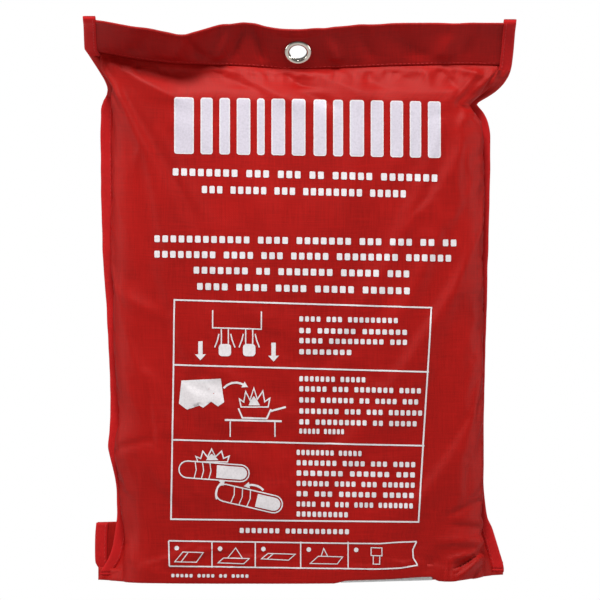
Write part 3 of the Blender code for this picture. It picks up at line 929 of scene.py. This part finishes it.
# the blanket's sheet, in metres
SHEET_SIZE = (1.2, 1.8)
FOLD_COUNT = 5


def serpentine(length, count, pitch, flat_steps, turn_steps):
    """Points and normals along a strip folded to and fro in count layers, stacked in the second axis."""
    radius = pitch / 2
    run = length / count - math.pi * radius * (count - 1) / count
    points, normals, places = [], [], []
    place = 0.0
    for layer in range(count):
        way = 1 if layer % 2 == 0 else -1
        for t in np.linspace(0, 1, flat_steps):
            points.append((way * run * (t - 0.5), layer * pitch))
            normals.append((0, way))
            places.append(place + t * run)
        place += run
        if layer == count - 1:
            break
        for a in np.linspace(0, math.pi, turn_steps + 2)[1:-1]:
            centre = (way * run / 2, layer * pitch + radius)
            points.append((centre[0] + way * radius * math.sin(a), centre[1] - radius * math.cos(a)))
            normals.append((-math.sin(a), way * math.cos(a)))
            places.append(place + a * radius)
        place += math.pi * radius
    return np.array(points), np.array(normals), np.array(places)


def blanket():
    """The sheet, folded in five across its width and then in five along its length."""
    depth = PACK_HIGH[1] - PACK_LOW[1]
    layer = (depth - 0.4) / FOLD_COUNT**2
    width, length = SHEET_SIZE[0] / MM, SHEET_SIZE[1] / MM
    across, _, across_places = serpentine(width, FOLD_COUNT, layer, 10, 5)
    along, along_normal, along_places = serpentine(length, FOLD_COUNT, layer * FOLD_COUNT, 34, 9)
    across[:, 1] -= across[:, 1].mean()
    along[:, 1] -= along[:, 1].mean()
    middle = (PACK_LOW + PACK_HIGH) / 2
    height = PACK_HIGH[2] - PACK_LOW[2] - 1.2
    along[:, 0] *= height / (along[:, 0].max() - along[:, 0].min() + 2 * abs(across[:, 1]).max())
    rows = []
    for (z, y), (normal_z, normal_y), v in zip(along, along_normal, along_places):
        row = []
        for (x, out), u in zip(across, across_places):
            ripple = 0.22 * layer * math.sin(u / 31.0 + v / 47.0)
            slip = 0.7 * math.sin(v / 90.0 + 3 * u / 240) + 0.5 * math.sin(u / 13.0)
            off = y + normal_y * out
            rounded = (2 * off / depth) ** 4
            row.append((
                middle[0] + x * (0.994 - 0.026 * rounded) + slip * 0.8,
                middle[1] + off * 0.985 + ripple * 0.4,
                middle[2] + (z + normal_z * out) * (1 - 0.018 * rounded) + slip * 0.5,
            ))
        rows.append(row)
    obj, _ = thick_grid("blanket_sheet", np.array(rows), layer * 0.62, (across_places, along_places))
    fit_out(obj, "blanket", "glass_cloth", "folded_blanket")
    pull_tapes()


def pull_tapes():
    """The two loops of webbing under the pack, each with its boxed and crossed stitching."""
    pieces = []
    ply = 0.5
    for word in ("left", "right"):
        (x0, front, foot), (x1, back, top) = mm_box(f"{word}_pull_tape")
        turn = foot + 1.4
        path = [(back - ply / 2 - 0.02, z) for z in np.linspace(top, turn, 40)]
        for a in np.linspace(0, math.pi, 9)[1:-1]:
            y = back - ply / 2 - (back - front - ply) / 2 * (1 - math.cos(a))
            path.append((y, turn - 1.1 * math.sin(a)))
        path += [(front + ply / 2, z) for z in np.linspace(turn, foot + 66, 26)]
        grid = np.array([[(x, y, z) for x in np.linspace(x0, x1, 9)] for y, z in path])
        obj, flat = thick_grid(f"{word}_pull_webbing", grid, ply * 0.8)
        pieces.append(fit_out(obj, "blanket", "webbing", f"{word}_pull_tape"))
        corners = [(x0 + 3, foot + 40), (x1 - 3, foot + 40), (x1 - 3, foot + 62), (x0 + 3, foot + 62)]
        route = corners + [corners[0], corners[2], corners[1], corners[3]]
        line = []
        for (xa, za), (xb, zb) in zip(route, route[1:]):
            line += [(xa + (xb - xa) * t, front - 0.02, za + (zb - za) * t) for t in np.linspace(0, 1, 12)]
        stitch_line(f"{word}_pull_stitches", line, [(0, -1, 0)] * len(line), "blanket")
    return pieces


# ---------------------------------------------------------------- strips and label


def rounded_slab(name, low, high):
    """A thin slab with rounded edges, as a closed grid with its faces toward -Y and +Y."""
    columns, heights = np.linspace(low[0], high[0], 120), np.linspace(high[2], low[2], 14)
    middle = (low[1] + high[1]) / 2
    grid = np.array([[(x, middle, z) for x in columns] for z in heights])
    obj, _ = thick_grid(name, grid, high[1] - low[1])
    bevel = obj.modifiers.new("Edges", "BEVEL")
    bevel.width = 0.25 * MM
    bevel.segments = 2
    bevel.limit_method = "ANGLE"
    return obj


# node, slot, body and sewn face of each half of the closure
CLOSURE = (("back_loop_strip", "loop_strip", "pouch", 1), ("flap_hook_strip", "hook_strip", "flap", -1))


def strips():
    for name, slot, body, face in CLOSURE:
        low, high = mm_box(name)
        fit_out(rounded_slab(name + "_pile", low, high), body, slot, name)
        left, right, foot, top = low[0] + 2, high[0] - 2, low[2] + 2, high[2] - 2
        rim = [(left, foot), (right, foot), (right, top), (left, top), (left, foot)]
        y = high[1] + 0.02 if face > 0 else low[1] - 0.02
        stitch_line(name + "_stitches", [(x, y, z) for x, z in rim], [(0, face, 0)] * 5, body)
        if body == "flap":
            y = FLAP_Y + CLOTH / 2 + 0.35
            stitch_line("flap_outside_stitches", [(x, y, z) for x, z in rim], [(0, 1, 0)] * 5, body)


def bottom_label():
    low, high = mm_box("bottom_label")
    x = np.linspace(low[0], high[0], 40)
    y = (low[1] + high[1]) / 2 + 0.15 * np.sin(x / 9.0)
    rows = []
    for s in np.linspace(0, 1, 12):
        lift = s * (1.9 * (x - low[0]) / (high[0] - low[0]) - 1.3)
        rows.append(np.stack([x, y, high[2] + s * (low[2] - high[2]) + lift], -1))
    obj, flat = thick_grid("blank_label", np.array(rows), 0.3)
    fit_out(obj, "pouch", "label_cloth", "bottom_label")


# ---------------------------------------------------------------- print on the front

# the print's cells, and how far round a point of it the cloth's height is looked for
PRINT_CELL, PRINT_REACH = 1.7, 0.9
NEAR = ((0, 0), (PRINT_REACH, 0), (-PRINT_REACH, 0), (0, PRINT_REACH), (0, -PRINT_REACH))


class Print:
    """Flat shapes of ink in x and z, laid on the front cloth afterwards."""

    def __init__(self):
        self.bm = bmesh.new()

    def polygon(self, points):
        self.bm.faces.new([self.bm.verts.new((x, 0, z)) for x, z in points])

    def bar(self, x0, z0, x1, z1, slope, round_by):
        """A round-cornered bar between two corners, whose right end is lower by slope times its length."""
        points = []
        for x, z, start in ((x0, z1, 90), (x0, z0, 180), (x1, z0, 270), (x1, z1, 0)):
            centre_x = x + round_by * (1 if x == x0 else -1)
            centre_z = z + round_by * (1 if z == z0 else -1)
            points += circle(centre_x, centre_z, round_by, np.radians(np.linspace(start, start + 90, 5)))
        self.polygon([(x, z - slope * (x - x0)) for x, z in points])

    def line(self, width, points, closed=False):
        """A line of one width through the points, each stretch a strip with mitred joins."""
        points = [np.array(p, float) for p in points]
        count = len(points)
        offsets = []
        for i, point in enumerate(points):
            before = points[i - 1] if i or closed else point
            after = points[(i + 1) % count] if i < count - 1 or closed else point
            d1, d2 = point - before, after - point
            d1 = d1 / np.linalg.norm(d1) if np.linalg.norm(d1) else d2 / np.linalg.norm(d2)
            d2 = d2 / np.linalg.norm(d2) if np.linalg.norm(d2) else d1
            normal = np.array([-(d1 + d2)[1], (d1 + d2)[0]])
            normal /= np.linalg.norm(normal)
            stretch = min(2.5, 1 / max(0.2, abs(np.dot(normal, np.array([-d1[1], d1[0]])))))
            offsets.append(normal * width / 2 * stretch)
        ends = [(point + offset, point - offset) for point, offset in zip(points, offsets)]
        for i in range(count if closed else count - 1):
            self.polygon(ends[i] + ends[(i + 1) % count][::-1])

    def lines(self, width, *lines):
        for points in lines:
            self.line(width, points)

    def lay(self, name, cloth_hit, lift, material):
        """Cuts the shapes into small cells, lays them on the cloth and makes them one piece."""
        bm = self.bm
        bmesh.ops.triangulate(bm, faces=bm.faces)
        for axis in (0, 2):
            places = [v.co[axis] / PRINT_CELL for v in bm.verts]
            normal = Vector((axis == 0, 0, axis == 2))
            for level in np.arange(math.ceil(min(places)), max(places)) * PRINT_CELL:
                geometry = bm.verts[:] + bm.edges[:] + bm.faces[:]
                bmesh.ops.bisect_plane(bm, geom=geometry, dist=1e-5, plane_co=normal * level, plane_no=normal)
        lost = []
        for vert in bm.verts:
            x, z = vert.co.x, vert.co.z
            around = [cloth_hit(x + dx, z + dz) for dx, dz in NEAR]
            if around[0] is None:
                lost.append(vert)
                continue
            y, normal = around[0]
            depths = [other[0] for other in around if other]
            proud = max(0.0, y - (max(depths) + min(depths)) / 2)
            vert.co = (Vector((x, y - proud, z)) + normal * lift) * MM
        bmesh.ops.delete(bm, geom=lost, context="VERTS")
        for face in bm.faces:
            face.normal_update()
            if face.normal.y > 0:
                face.normal_flip()
        obj = link_bmesh(name, bm)
        obj.data.shade_smooth()
        fit_out(obj, "pouch", "label_cloth", material=material)


# shares of a letter's pitch and of a line's height
WORD_SPACE, BLOCK_WIDTH, BLOCK_HALF_HEIGHT = 0.75, 0.68, 0.42


def words(ink, x0, x1, z, height, slope, *lengths):
    """One line of words, each a row of as many upright blocks as its length says."""
    half = BLOCK_HALF_HEIGHT * height
    pitch = (x1 - x0) / (sum(lengths) + WORD_SPACE * (len(lengths) - 1))
    place = x0
    for length in lengths:
        for _ in range(length):
            middle = z - slope * (place - x0)
            ink.bar(place, middle - half, place + BLOCK_WIDTH * pitch, middle + half, slope, 0.8)
            place += pitch
        place += WORD_SPACE * pitch


# left, right and block widths of each word of the title
TITLE_WORDS = ((-91.5, 5.5, (13, 8, 7, 9, 5, 9, 9)), (11.5, 105.5, (9, 7, 10, 9, 9, 8, 9)))


def title(ink, inner):
    """Two words of tall plain blocks, edged in a whiter line."""
    top, foot, slope, space, edge = -33.6, -75.4, 0.016, 5.0, 0.9
    for x0, x1, widths in TITLE_WORDS:
        unit = (x1 - x0 - space * (len(widths) - 1)) / sum(widths)
        left = x0
        for width in widths:
            right = left + width * unit
            lower = slope * (left - TITLE_WORDS[0][0])
            ink.bar(left, foot - lower, right, top - lower, slope, 1.8)
            inner.bar(left + edge, foot - lower + edge, right - edge, top - lower - edge, slope, 1.2)
            left = right + space


# left, right, middle, height and slope of each line of words, and then its words' lengths
TEXT_LINES = (
    (-92.5, 105.0, -88.8, 6.4, 0.024, 8, 3, 3, 2, 5, 7), (-71.0, 81.5, -101.8, 6.4, 0.022, 3, 5, 3, 8, 5),
    (-106.0, 119.0, -138.2, 6.0, 0.014, 12, 4, 7, 3, 3, 2, 2),
    (-106.0, 115.0, -149.6, 6.0, 0.014, 8, 4, 3, 5, 8, 6),
    (-77.0, 84.0, -161.4, 6.0, 0.018, 7, 2, 7, 5, 3), (-74.5, 84.5, -173.4, 6.0, 0.022, 4, 4, 4, 5, 6),
    (-43.0, 39.0, -353.6, 4.4, 0.012, 7, 11), (-93.5, -35.5, -387.0, 3.0, 0.006, 5, 4, 2, 4),
)
# left, right and middle of each line beside the drawings, and then its words' lengths
PANEL_LINES = (
    (1.0, 75.0, -197.4, 4, 3, 9), (1.0, 82.0, -206.0, 2, 6, 7), (1.0, 82.0, -213.4, 4, 9, 3),
    (1.0, 41.0, -221.6, 8), (1.0, 51.0, -241.6, 7, 5), (1.0, 92.0, -249.0, 5, 3, 7, 4),
    (1.0, 90.0, -257.2, 3, 6, 2, 4, 3), (1.0, 93.0, -265.4, 7, 3, 3, 6), (1.0, 89.0, -273.4, 2, 9, 2, 5),
    (1.0, 35.0, -280.2, 5, 5), (-1.0, 48.0, -296.0, 8, 5), (-1.0, 88.0, -303.6, 7, 4, 3, 4),
    (-1.0, 88.0, -311.2, 7, 6, 3), (-1.0, 87.5, -318.8, 6, 4, 3, 6), (-1.0, 87.0, -326.4, 2, 3, 6, 5),
    (-1.0, 86.0, -334.0, 4, 2, 3, 4, 7), (-1.0, 38.0, -341.4, 10),
)


def panel_frame(ink):
    ink.line(1.15, [(-91.2, -183.4), (-93.8, -345.4), (89.0, -347.4), (98.6, -189.2)], closed=True)
    ink.lines(1.15, [(-91.8, -231.4), (96.6, -236.6)], [(-92.6, -286.8), (93.4, -291.2)])


def arrow(ink, x, z0, z1):
    """A solid arrow that points down."""
    width, shaft = 4.0, 1.6
    head = z1 + 1.1 * width
    ink.polygon([(x - shaft, z0), (x - shaft, head), (x + shaft, head), (x + shaft, z0)])
    ink.polygon([(x - width, head), (x, z1), (x + width, head)])


def bent_arrow(ink, x, z, radius, start, end):
    """A curved arrow about a centre, with a solid head at its end."""
    start, end = math.radians(start), math.radians(end)
    ink.line(1.5, circle(x, z, radius, np.linspace(start, end, 13)))
    across = np.array([math.cos(end), math.sin(end)])
    along = np.array([-across[1], across[0]]) * math.copysign(1, end - start)
    tip = np.array([x, z]) + radius * across
    ink.polygon([tip + across * 2.4, tip + along * 4.2, tip - across * 2.4])


def capsule(ink, x, z, length, radius, tilt, solid):
    """A roll of cloth: a long round-ended outline, with its last share solid."""
    cos, sin = math.cos(math.radians(tilt)), math.sin(math.radians(tilt))

    def placed(points):
        return [(x + along * cos - out * sin, z + along * sin + out * cos) for along, out in points]

    half, inner = length / 2 - radius, radius - 1.5
    outline = circle(half, 0, radius, np.linspace(-1.57, 1.57, 9))
    outline += circle(-half, 0, radius, np.linspace(1.57, 4.71, 9))
    ink.line(0.9, placed(outline), closed=True)
    edge = half - 2 * half * solid
    block = [(edge, inner), (edge, -inner), (half, -inner)]
    block += circle(half, 0, inner, np.linspace(-1.2, 1.2, 7)) + [(half, inner)]
    ink.polygon(placed(block))
    for share in (0.25, 0.5, 0.75):
        along = -half + (edge + half) * share
        ink.line(0.7, placed([(along, radius), (along + 1.2, 0), (along, -radius)]))


def flames(ink, x, z, width, height):
    tips = (
        (0.0, 0.0), (-0.06, 0.42), (0.10, 0.26), (0.17, 0.82), (0.33, 0.36), (0.47, 1.0), (0.60, 0.40),
        (0.80, 0.84), (0.87, 0.28), (1.06, 0.46), (1.0, 0.0),
    )
    ink.line(0.9, [(x + width * u, z + height * v) for u, v in tips], closed=True)
    core = ((0.28, 0.0), (0.34, 0.24), (0.47, 0.5), (0.62, 0.22), (0.70, 0.0))
    ink.polygon([(x + width * u, z + height * v + 1.2) for u, v in core])


def pictures(ink):
    """Three drawings of the builder's own: a pouch's pull tapes, a cloth beside a pan, and two rolls."""
    # the foot of a pouch, its two tapes and the way they are pulled
    ink.line(0.9, [(-63, -191), (-63, -204), (-27, -205), (-27, -192)])
    for x in (-54, -36):
        ink.bar(x - 4.6, -225, x + 4.6, -216, 0, 2.4)
        for side in (-1, 1):
            tape = [(x + side * 2.6, -205), (x + side * 2.6, -216)]
            pull = [(x + side * 7.5, -218.5), (x + side * 5.4, -213), (x + side * 4.4, -208.5)]
            ink.lines(0.9, tape, pull)
    arrow(ink, -72, -214, -228)
    arrow(ink, -18, -215, -229)
    # a sheet held beside a burning pan on its stand, and the way it goes over
    ink.lines(1.4, [(-54, -272), (-12, -273)], [(-20, -265.5), (-9, -262.5)])
    ink.lines(0.9, *([(x, -273), (x, -284.5)] for x in (-50, -17)))
    ink.line(1.2, [(-44, -263.5), (-41, -270.5), (-23, -271), (-20, -264)])
    flames(ink, -42, -262.5, 20, 14)
    ink.polygon([
        (-86, -243), (-57, -241.5), (-54.5, -259), (-59, -262), (-64, -258.5), (-70, -263), (-76, -259.5),
        (-82, -264.5), (-88, -260),
    ])
    bent_arrow(ink, -46, -256, 11.5, 140, 62)
    # a burning roll and the same roll wrapped up
    capsule(ink, -62, -310, 52, 6.2, -4, 0.45)
    flames(ink, -74, -303, 22, 9.5)
    capsule(ink, -36, -330, 50, 6.4, -13, 0.35)
    bent_arrow(ink, -50, -327, 10.5, 200, 130)
    bent_arrow(ink, -34, -331, 11.0, 40, 100)


def strip_cells(ink):
    """The strip of five cells, whose right end is bent by the cloth's folds."""
    ink.lines(
        1.0,
        [(-95.5, -361.4), (60, -363.4), (74, -362.4), (87.6, -362.0)],
        [(87.6, -362.0), (84.8, -368), (85.2, -374), (88.4, -379.4)],
        [(88.4, -379.4), (76, -381.4), (60, -382.2), (-95.0, -380.0)],
        [(-95.5, -361.4), (-95.0, -380.0)],
    )
    ink.lines(0.9, *([(x, -361.9), (x, -381.2)] for x in (-63.5, -31.5, 2.0, 37.0)))
    for i, x in enumerate((-89.5, -57.5, -25.5, 8.0, 43.0)):
        ink.polygon(circle(x, -366.8 - 0.3 * i, 1.7, np.linspace(0, 2 * math.pi, 14, endpoint=False)))
    # each cell's sheet, and then its folds
    for sheet in (
        [(-91, -376.8), (-85, -369.6), (-70, -369.9), (-75, -377.2)],
        [(-59, -377.6), (-55, -374), (-36, -374.4), (-40, -378.2)],
        [(-27, -374.6), (-22, -370.6), (-2, -371.2), (-7, -375.6)],
        [(9, -378), (15, -372.6), (33, -373.2), (29, -378.4)],
        [(54, -366.4), (62, -366.6), (62, -372.4), (54, -372.2)],
    ):
        ink.line(0.65, sheet, closed=True)
    ink.lines(
        0.65,
        [(-81, -369.8), (-86.4, -377)], [(-52, -374), (-46, -366.6), (-41, -374.2)],
        [(-18, -370.7), (-23, -375)], [(17, -372.8), (19, -366.9), (22, -372.9)],
        [(55.6, -372.4), (55.6, -378.6), (60.4, -378.7), (60.4, -372.6)],
    )


def printed_ink(cloth):
    """All the print: one piece of ink, and the title's inner tone on top of it."""
    hit = surface_hits(cloth)
    ink, inner = Print(), Print()
    title(ink, inner)
    for line in TEXT_LINES:
        words(ink, *line)
    panel_frame(ink)
    for x0, x1, z, *lengths in PANEL_LINES:
        words(ink, x0, x1, z, 4.6, 0.018, *lengths)
    pictures(ink)
    strip_cells(ink)
    ink.lay("front_print", hit, 0.24, "ink")
    inner.lay("title_print", hit, 0.34, "ink_shade")


# ---------------------------------------------------------------- materials

MATERIALS = {}


def new_material(name, colour, roughness, metallic=0.0, **sockets):
    material = bpy.data.materials.new(name)
    material.use_nodes = True
    shader = material.node_tree.nodes["Principled BSDF"]
    shader.inputs["Base Color"].default_value = (*colour, 1)
    shader.inputs["Roughness"].default_value = roughness
    shader.inputs["Metallic"].default_value = metallic
    for socket, value in sockets.items():
        shader.inputs[socket.replace("_", " ")].default_value = value
    MATERIALS[name] = material
    return material.node_tree, shader


def node(tree, kind, **settings):
    made = tree.nodes.new(kind)
    for key, value in settings.items():
        setattr(made, key, value)
    return made


def feed(tree, socket, value):
    """Gives a socket a value or another socket's output."""
    if isinstance(value, (int, float)):
        socket.default_value = value
    else:
        tree.links.new(value, socket)


def math_node(tree, operation, *values):
    made = node(tree, "ShaderNodeMath", operation=operation)
    for socket, value in zip(made.inputs, values):
        feed(tree, socket, value)
    return made.outputs[0]


def weighted(tree, first, share, second):
    """The first value by its share, and the second by the rest."""
    return math_node(
        tree, "ADD", math_node(tree, "MULTIPLY", first, share), math_node(tree, "MULTIPLY", second, 1 - share)
    )


def cloth_coordinates(tree):
    """Places in the piece's flat cut."""
    return node(tree, "ShaderNodeUVMap", uv_map="Cloth").outputs[0]


def place_coordinates(tree):
    return node(tree, "ShaderNodeTexCoord").outputs["Object"]


def waves(tree, vector, *lengths):
    """Sine waves along u and v, each of a length in millimetres."""
    split = node(tree, "ShaderNodeSeparateXYZ")
    tree.links.new(vector, split.inputs[0])
    made = []
    for axis, length in zip(split.outputs, lengths):
        angle = math_node(tree, "MULTIPLY", axis, 2 * math.pi / (length * MM))
        made.append(math_node(tree, "SINE", angle))
    return made


def weave_height(tree, vector, pitch_u, pitch_v):
    """A plain weave's height, from -1 to 1: threads that pass over and under each other."""
    return math_node(tree, "MULTIPLY", *waves(tree, vector, 2 * pitch_u, 2 * pitch_v))


def noise_value(tree, vector, scale, detail=2.0, roughness=0.5):
    made = node(tree, "ShaderNodeTexNoise")
    for name, value in (("Scale", scale), ("Detail", detail), ("Roughness", roughness), ("Vector", vector)):
        feed(tree, made.inputs[name], value)
    return made.outputs[0]


def tint(tree, shader, value, colour, *stops):
    """Colours the shader by a value: each stop is a place and how bright the colour is there."""
    ramp = node(tree, "ShaderNodeValToRGB")
    while len(ramp.color_ramp.elements) < len(stops):
        ramp.color_ramp.elements.new(0.5)
    for element, (place, brightness) in zip(ramp.color_ramp.elements, stops):
        element.position = place
        element.color = (*scaled(colour, brightness), 1)
    tree.links.new(value, ramp.inputs[0])
    tree.links.new(ramp.outputs[0], shader.inputs["Base Color"])


def bump(tree, shader, height, distance, strength=1.0, under=None):
    made = node(tree, "ShaderNodeBump")
    made.inputs["Distance"].default_value = distance * MM
    made.inputs["Strength"].default_value = strength
    tree.links.new(height, made.inputs["Height"])
    if under is not None:
        tree.links.new(under, made.inputs["Normal"])
    tree.links.new(made.outputs[0], shader.inputs["Normal"])
    return made.outputs[0]


def scaled(colour, by):
    return tuple(min(1.0, c * by) for c in colour)


def slubs(tree, vector, along, across):
    """Uneven threads: long thin streaks, along by across millimetres in size."""
    made = node(tree, "ShaderNodeMapping")
    made.inputs["Scale"].default_value = (1 / (along * MM), 1 / (across * MM), 1)
    tree.links.new(vector, made.inputs["Vector"])
    return noise_value(tree, made.outputs[0], 1.0, 2, 0.55)


def woven(name, colour, roughness, pitch, depth, spread, sheen):
    """Cloth with a weave, slow colour variation, and fine unevenness of its threads."""
    tree, shader = new_material(
        name, colour, roughness, Sheen_Weight=sheen, Sheen_Roughness=0.45, Specular_IOR_Level=0.2
    )
    red = colour[1] < 0.1 < colour[0]
    shader.inputs["Specular Tint"].default_value = (1, 0.55, 0.5, 1) if red else (1, 1, 1, 1)
    shader.inputs["Sheen Tint"].default_value = (*scaled(colour, 1.6), 1)
    vector, place = cloth_coordinates(tree), place_coordinates(tree)
    warp, weft = slubs(tree, vector, 0.9, 22), slubs(tree, vector, 22, 0.9)
    fine = math_node(tree, "MULTIPLY", math_node(tree, "ADD", warp, weft), 0.5)
    mixed = weighted(tree, noise_value(tree, place, 14, 3), 0.35, fine)
    tint(tree, shader, mixed, colour, (0.36, 1 - 2 * spread), (0.50, 1), (0.64, 1 + 2 * spread))
    feed(tree, shader.inputs["Roughness"], math_node(tree, "MULTIPLY_ADD", fine, 0.16, roughness - 0.08))
    first = bump(tree, shader, weave_height(tree, vector, *pitch), depth, 0.8)
    bump(tree, shader, fine, depth * 1.6, 0.7, first)


def ribbed(name, colour, roughness, pitch, depth):
    """Tape with ribs across it, and a slight weave along them."""
    tree, shader = new_material(
        name, colour, roughness, Sheen_Weight=0.03, Sheen_Roughness=0.4, Specular_IOR_Level=0.15
    )
    threads, ribs = waves(tree, cloth_coordinates(tree), 0.55, pitch)
    height = math_node(tree, "ADD", ribs, math_node(tree, "MULTIPLY", threads, 0.35))
    place = place_coordinates(tree)
    fine = noise_value(tree, place, 500, 3, 0.6)
    mixed = weighted(tree, noise_value(tree, place, 30, 2), 0.6, fine)
    tint(tree, shader, mixed, colour, (0.3, 0.82), (0.52, 1), (0.75, 1.18))
    first = bump(tree, shader, height, depth, 0.6)
    bump(tree, shader, fine, depth * 1.5, 0.5, first)


def pile(name, colour, scale, depth):
    """Hooks or loops, as a cell pattern whose bump is highest in each cell's middle. Its colour is lighter
    there and darker in the gaps: painted highlight on the tops and painted shade between them.
    """
    tree, shader = new_material(name, colour, 0.9, Sheen_Weight=0.35, Sheen_Roughness=0.6)
    cells = node(tree, "ShaderNodeTexVoronoi")
    cells.inputs["Scale"].default_value = scale
    tree.links.new(place_coordinates(tree), cells.inputs["Vector"])
    distance = cells.outputs["Distance"]
    # painted highlight on each cell's middle and painted shade in the gaps between the hooks or loops
    tint(tree, shader, distance, colour, (0.0, 1.5), (0.5, 1), (0.9, 0.5))
    bump(tree, shader, math_node(tree, "SUBTRACT", 1.0, distance), depth, 0.9)


def thread(name, colour):
    """Sewing thread, with light and dark strands."""
    tree, shader = new_material(name, colour, 0.45, Sheen_Weight=0.05, Specular_IOR_Level=0.2)
    strands = noise_value(tree, place_coordinates(tree), 2400, 2)
    tint(tree, shader, strands, colour, (0.35, 0.75), (0.65, 1.2))
    bump(tree, shader, strands, 0.05, 0.6)


def metal(name, colour):
    """Polished metal with fine scratches and a slow change of tone."""
    tree, shader = new_material(name, colour, 0.16, 1.0)
    place = place_coordinates(tree)
    scratches = noise_value(tree, place, 380, 4, 0.7)
    feed(tree, shader.inputs["Roughness"], math_node(tree, "MULTIPLY_ADD", scratches, 0.14, 0.06))
    tint(tree, shader, noise_value(tree, place, 120, 2), colour, (0.3, 0.86), (0.7, 1.08))
    bump(tree, shader, scratches, 0.01, 0.3)


def ink_material(name, colour):
    """Thick white ink that shows the weave and has small gaps of tone where it is thin."""
    tree, shader = new_material(name, colour, 0.5, Specular_IOR_Level=0.4)
    place = place_coordinates(tree)
    flat = node(tree, "ShaderNodeMapping")
    flat.inputs["Rotation"].default_value = (math.pi / 2, 0, 0)
    tree.links.new(place, flat.inputs["Vector"])
    fine = noise_value(tree, place, 700, 2, 0.6)
    tint(tree, shader, fine, colour, (0.30, 0.88), (0.55, 1), (0.8, 1.05))
    first = bump(tree, shader, weave_height(tree, flat.outputs[0], *WEAVE), 0.03, 0.5)
    bump(tree, shader, fine, 0.03, 0.4, first)


WEAVE = (0.62, 0.62)


def make_materials():
    # colour, roughness, thread pitches and depth of the weave, spread of its tones, and sheen
    woven("red_cloth", (0.272, 0.0040, 0.0031), 0.50, WEAVE, 0.05, 0.11, 0.04)
    # the header's cloth is the red cloth made a little darker: painted shade for the header, whose face leans
    # down away from the top light
    woven("header_cloth", (0.25, 0.0034, 0.0032), 0.53, WEAVE, 0.05, 0.12, 0.03)
    woven("glass_cloth", (0.66, 0.63, 0.55), 0.58, (1.1, 1.1), 0.14, 0.10, 0.1)
    woven("webbing", (0.018, 0.018, 0.020), 0.66, (1.3, 1.8), 0.20, 0.3, 0.2)
    woven("label_cloth", (0.66, 0.67, 0.68), 0.62, (0.4, 0.4), 0.03, 0.08, 0.1)
    ribbed("binding_tape", (0.39, 0.0048, 0.0052), 0.7, 0.9, 0.05)
    thread("thread", (0.42, 0.012, 0.012))
    pile("loop_strip", (0.24, 0.008, 0.009), 1500, 0.5)
    pile("hook_strip", (0.20, 0.007, 0.008), 900, 0.6)
    metal("eyelet_metal", (0.50, 0.465, 0.41))
    ink_material("ink", (0.60, 0.565, 0.575))
    ink_material("ink_shade", (0.485, 0.45, 0.51))


# ---------------------------------------------------------------- stage, lights and camera

CENTRE = Vector((0.0015, 0.0, -0.1835))
VIEW_SIDE = 0.444
CAMERA_DISTANCE = 3.0
AMBIENT = 0.2


def area_light(name, place, target, size, power):
    light = bpy.data.lights.new(name, "AREA")
    light.shape = "RECTANGLE"
    light.size, light.size_y = size
    light.energy = power
    obj = link(name, light)
    obj.location = place
    obj.rotation_euler = (Vector(target) - Vector(place)).to_track_quat("-Z", "Y").to_euler()


def stage():
    scene = bpy.context.scene
    bm = bmesh.new()
    bmesh.ops.create_grid(bm, x_segments=1, y_segments=1, size=8)
    floor = link_bmesh("floor", bm)
    floor.location.z = -2.4
    _, shader = new_material("floor_paint", (0.8, 0.8, 0.8), 0.7, Emission_Strength=0.55)
    shader.inputs["Emission Color"].default_value = (1, 1, 1, 1)
    floor.data.materials.append(MATERIALS["floor_paint"])
    # a white background, whose light on the object is softer
    scene.world = bpy.data.worlds.new("studio")
    scene.world.use_nodes = True
    tree = scene.world.node_tree
    background = tree.nodes["Background"]
    background.inputs["Color"].default_value = (1, 1, 1, 1)
    seen = node(tree, "ShaderNodeLightPath").outputs["Is Camera Ray"]
    feed(tree, background.inputs["Strength"], math_node(tree, "MULTIPLY_ADD", seen, 1 - AMBIENT, AMBIENT))
    area_light("top_softbox", (-0.14, -0.84, 1.12), (0, 0, -0.12), (0.45, 0.28), 35)
    area_light("left_softbox", (-1.3, -0.32, 0.05), (0, 0, -0.2), (0.4, 0.9), 8.5)
    area_light("right_softbox", (1.35, -0.36, -0.1), (0, 0, -0.2), (0.4, 0.9), 8)
    area_light("back_softbox", (0.5, 1.3, 0.9), (0, 0, -0.2), (0.7, 0.5), 22)
    camera = bpy.data.cameras.new("camera")
    camera.sensor_width = 36
    camera.lens = camera.sensor_width * CAMERA_DISTANCE / VIEW_SIDE
    camera.clip_start, camera.clip_end = 0.05, 50
    scene.camera = link("camera", camera)
    scene.camera.location = CENTRE + Vector((0, -CAMERA_DISTANCE, 0))
    scene.camera.rotation_euler = (math.pi / 2, 0, 0)
    scene.view_settings.view_transform = "Standard"


def main():
    make_materials()
    stage()
    cloth = front_cloth()
    band = header_band()
    back = back_cloth(fold_cloth())
    bindings(flap_cloth())
    header_stitches(band)
    eyelet()
    blanket()
    strips()
    bottom_label()
    printed_ink(cloth)


main()
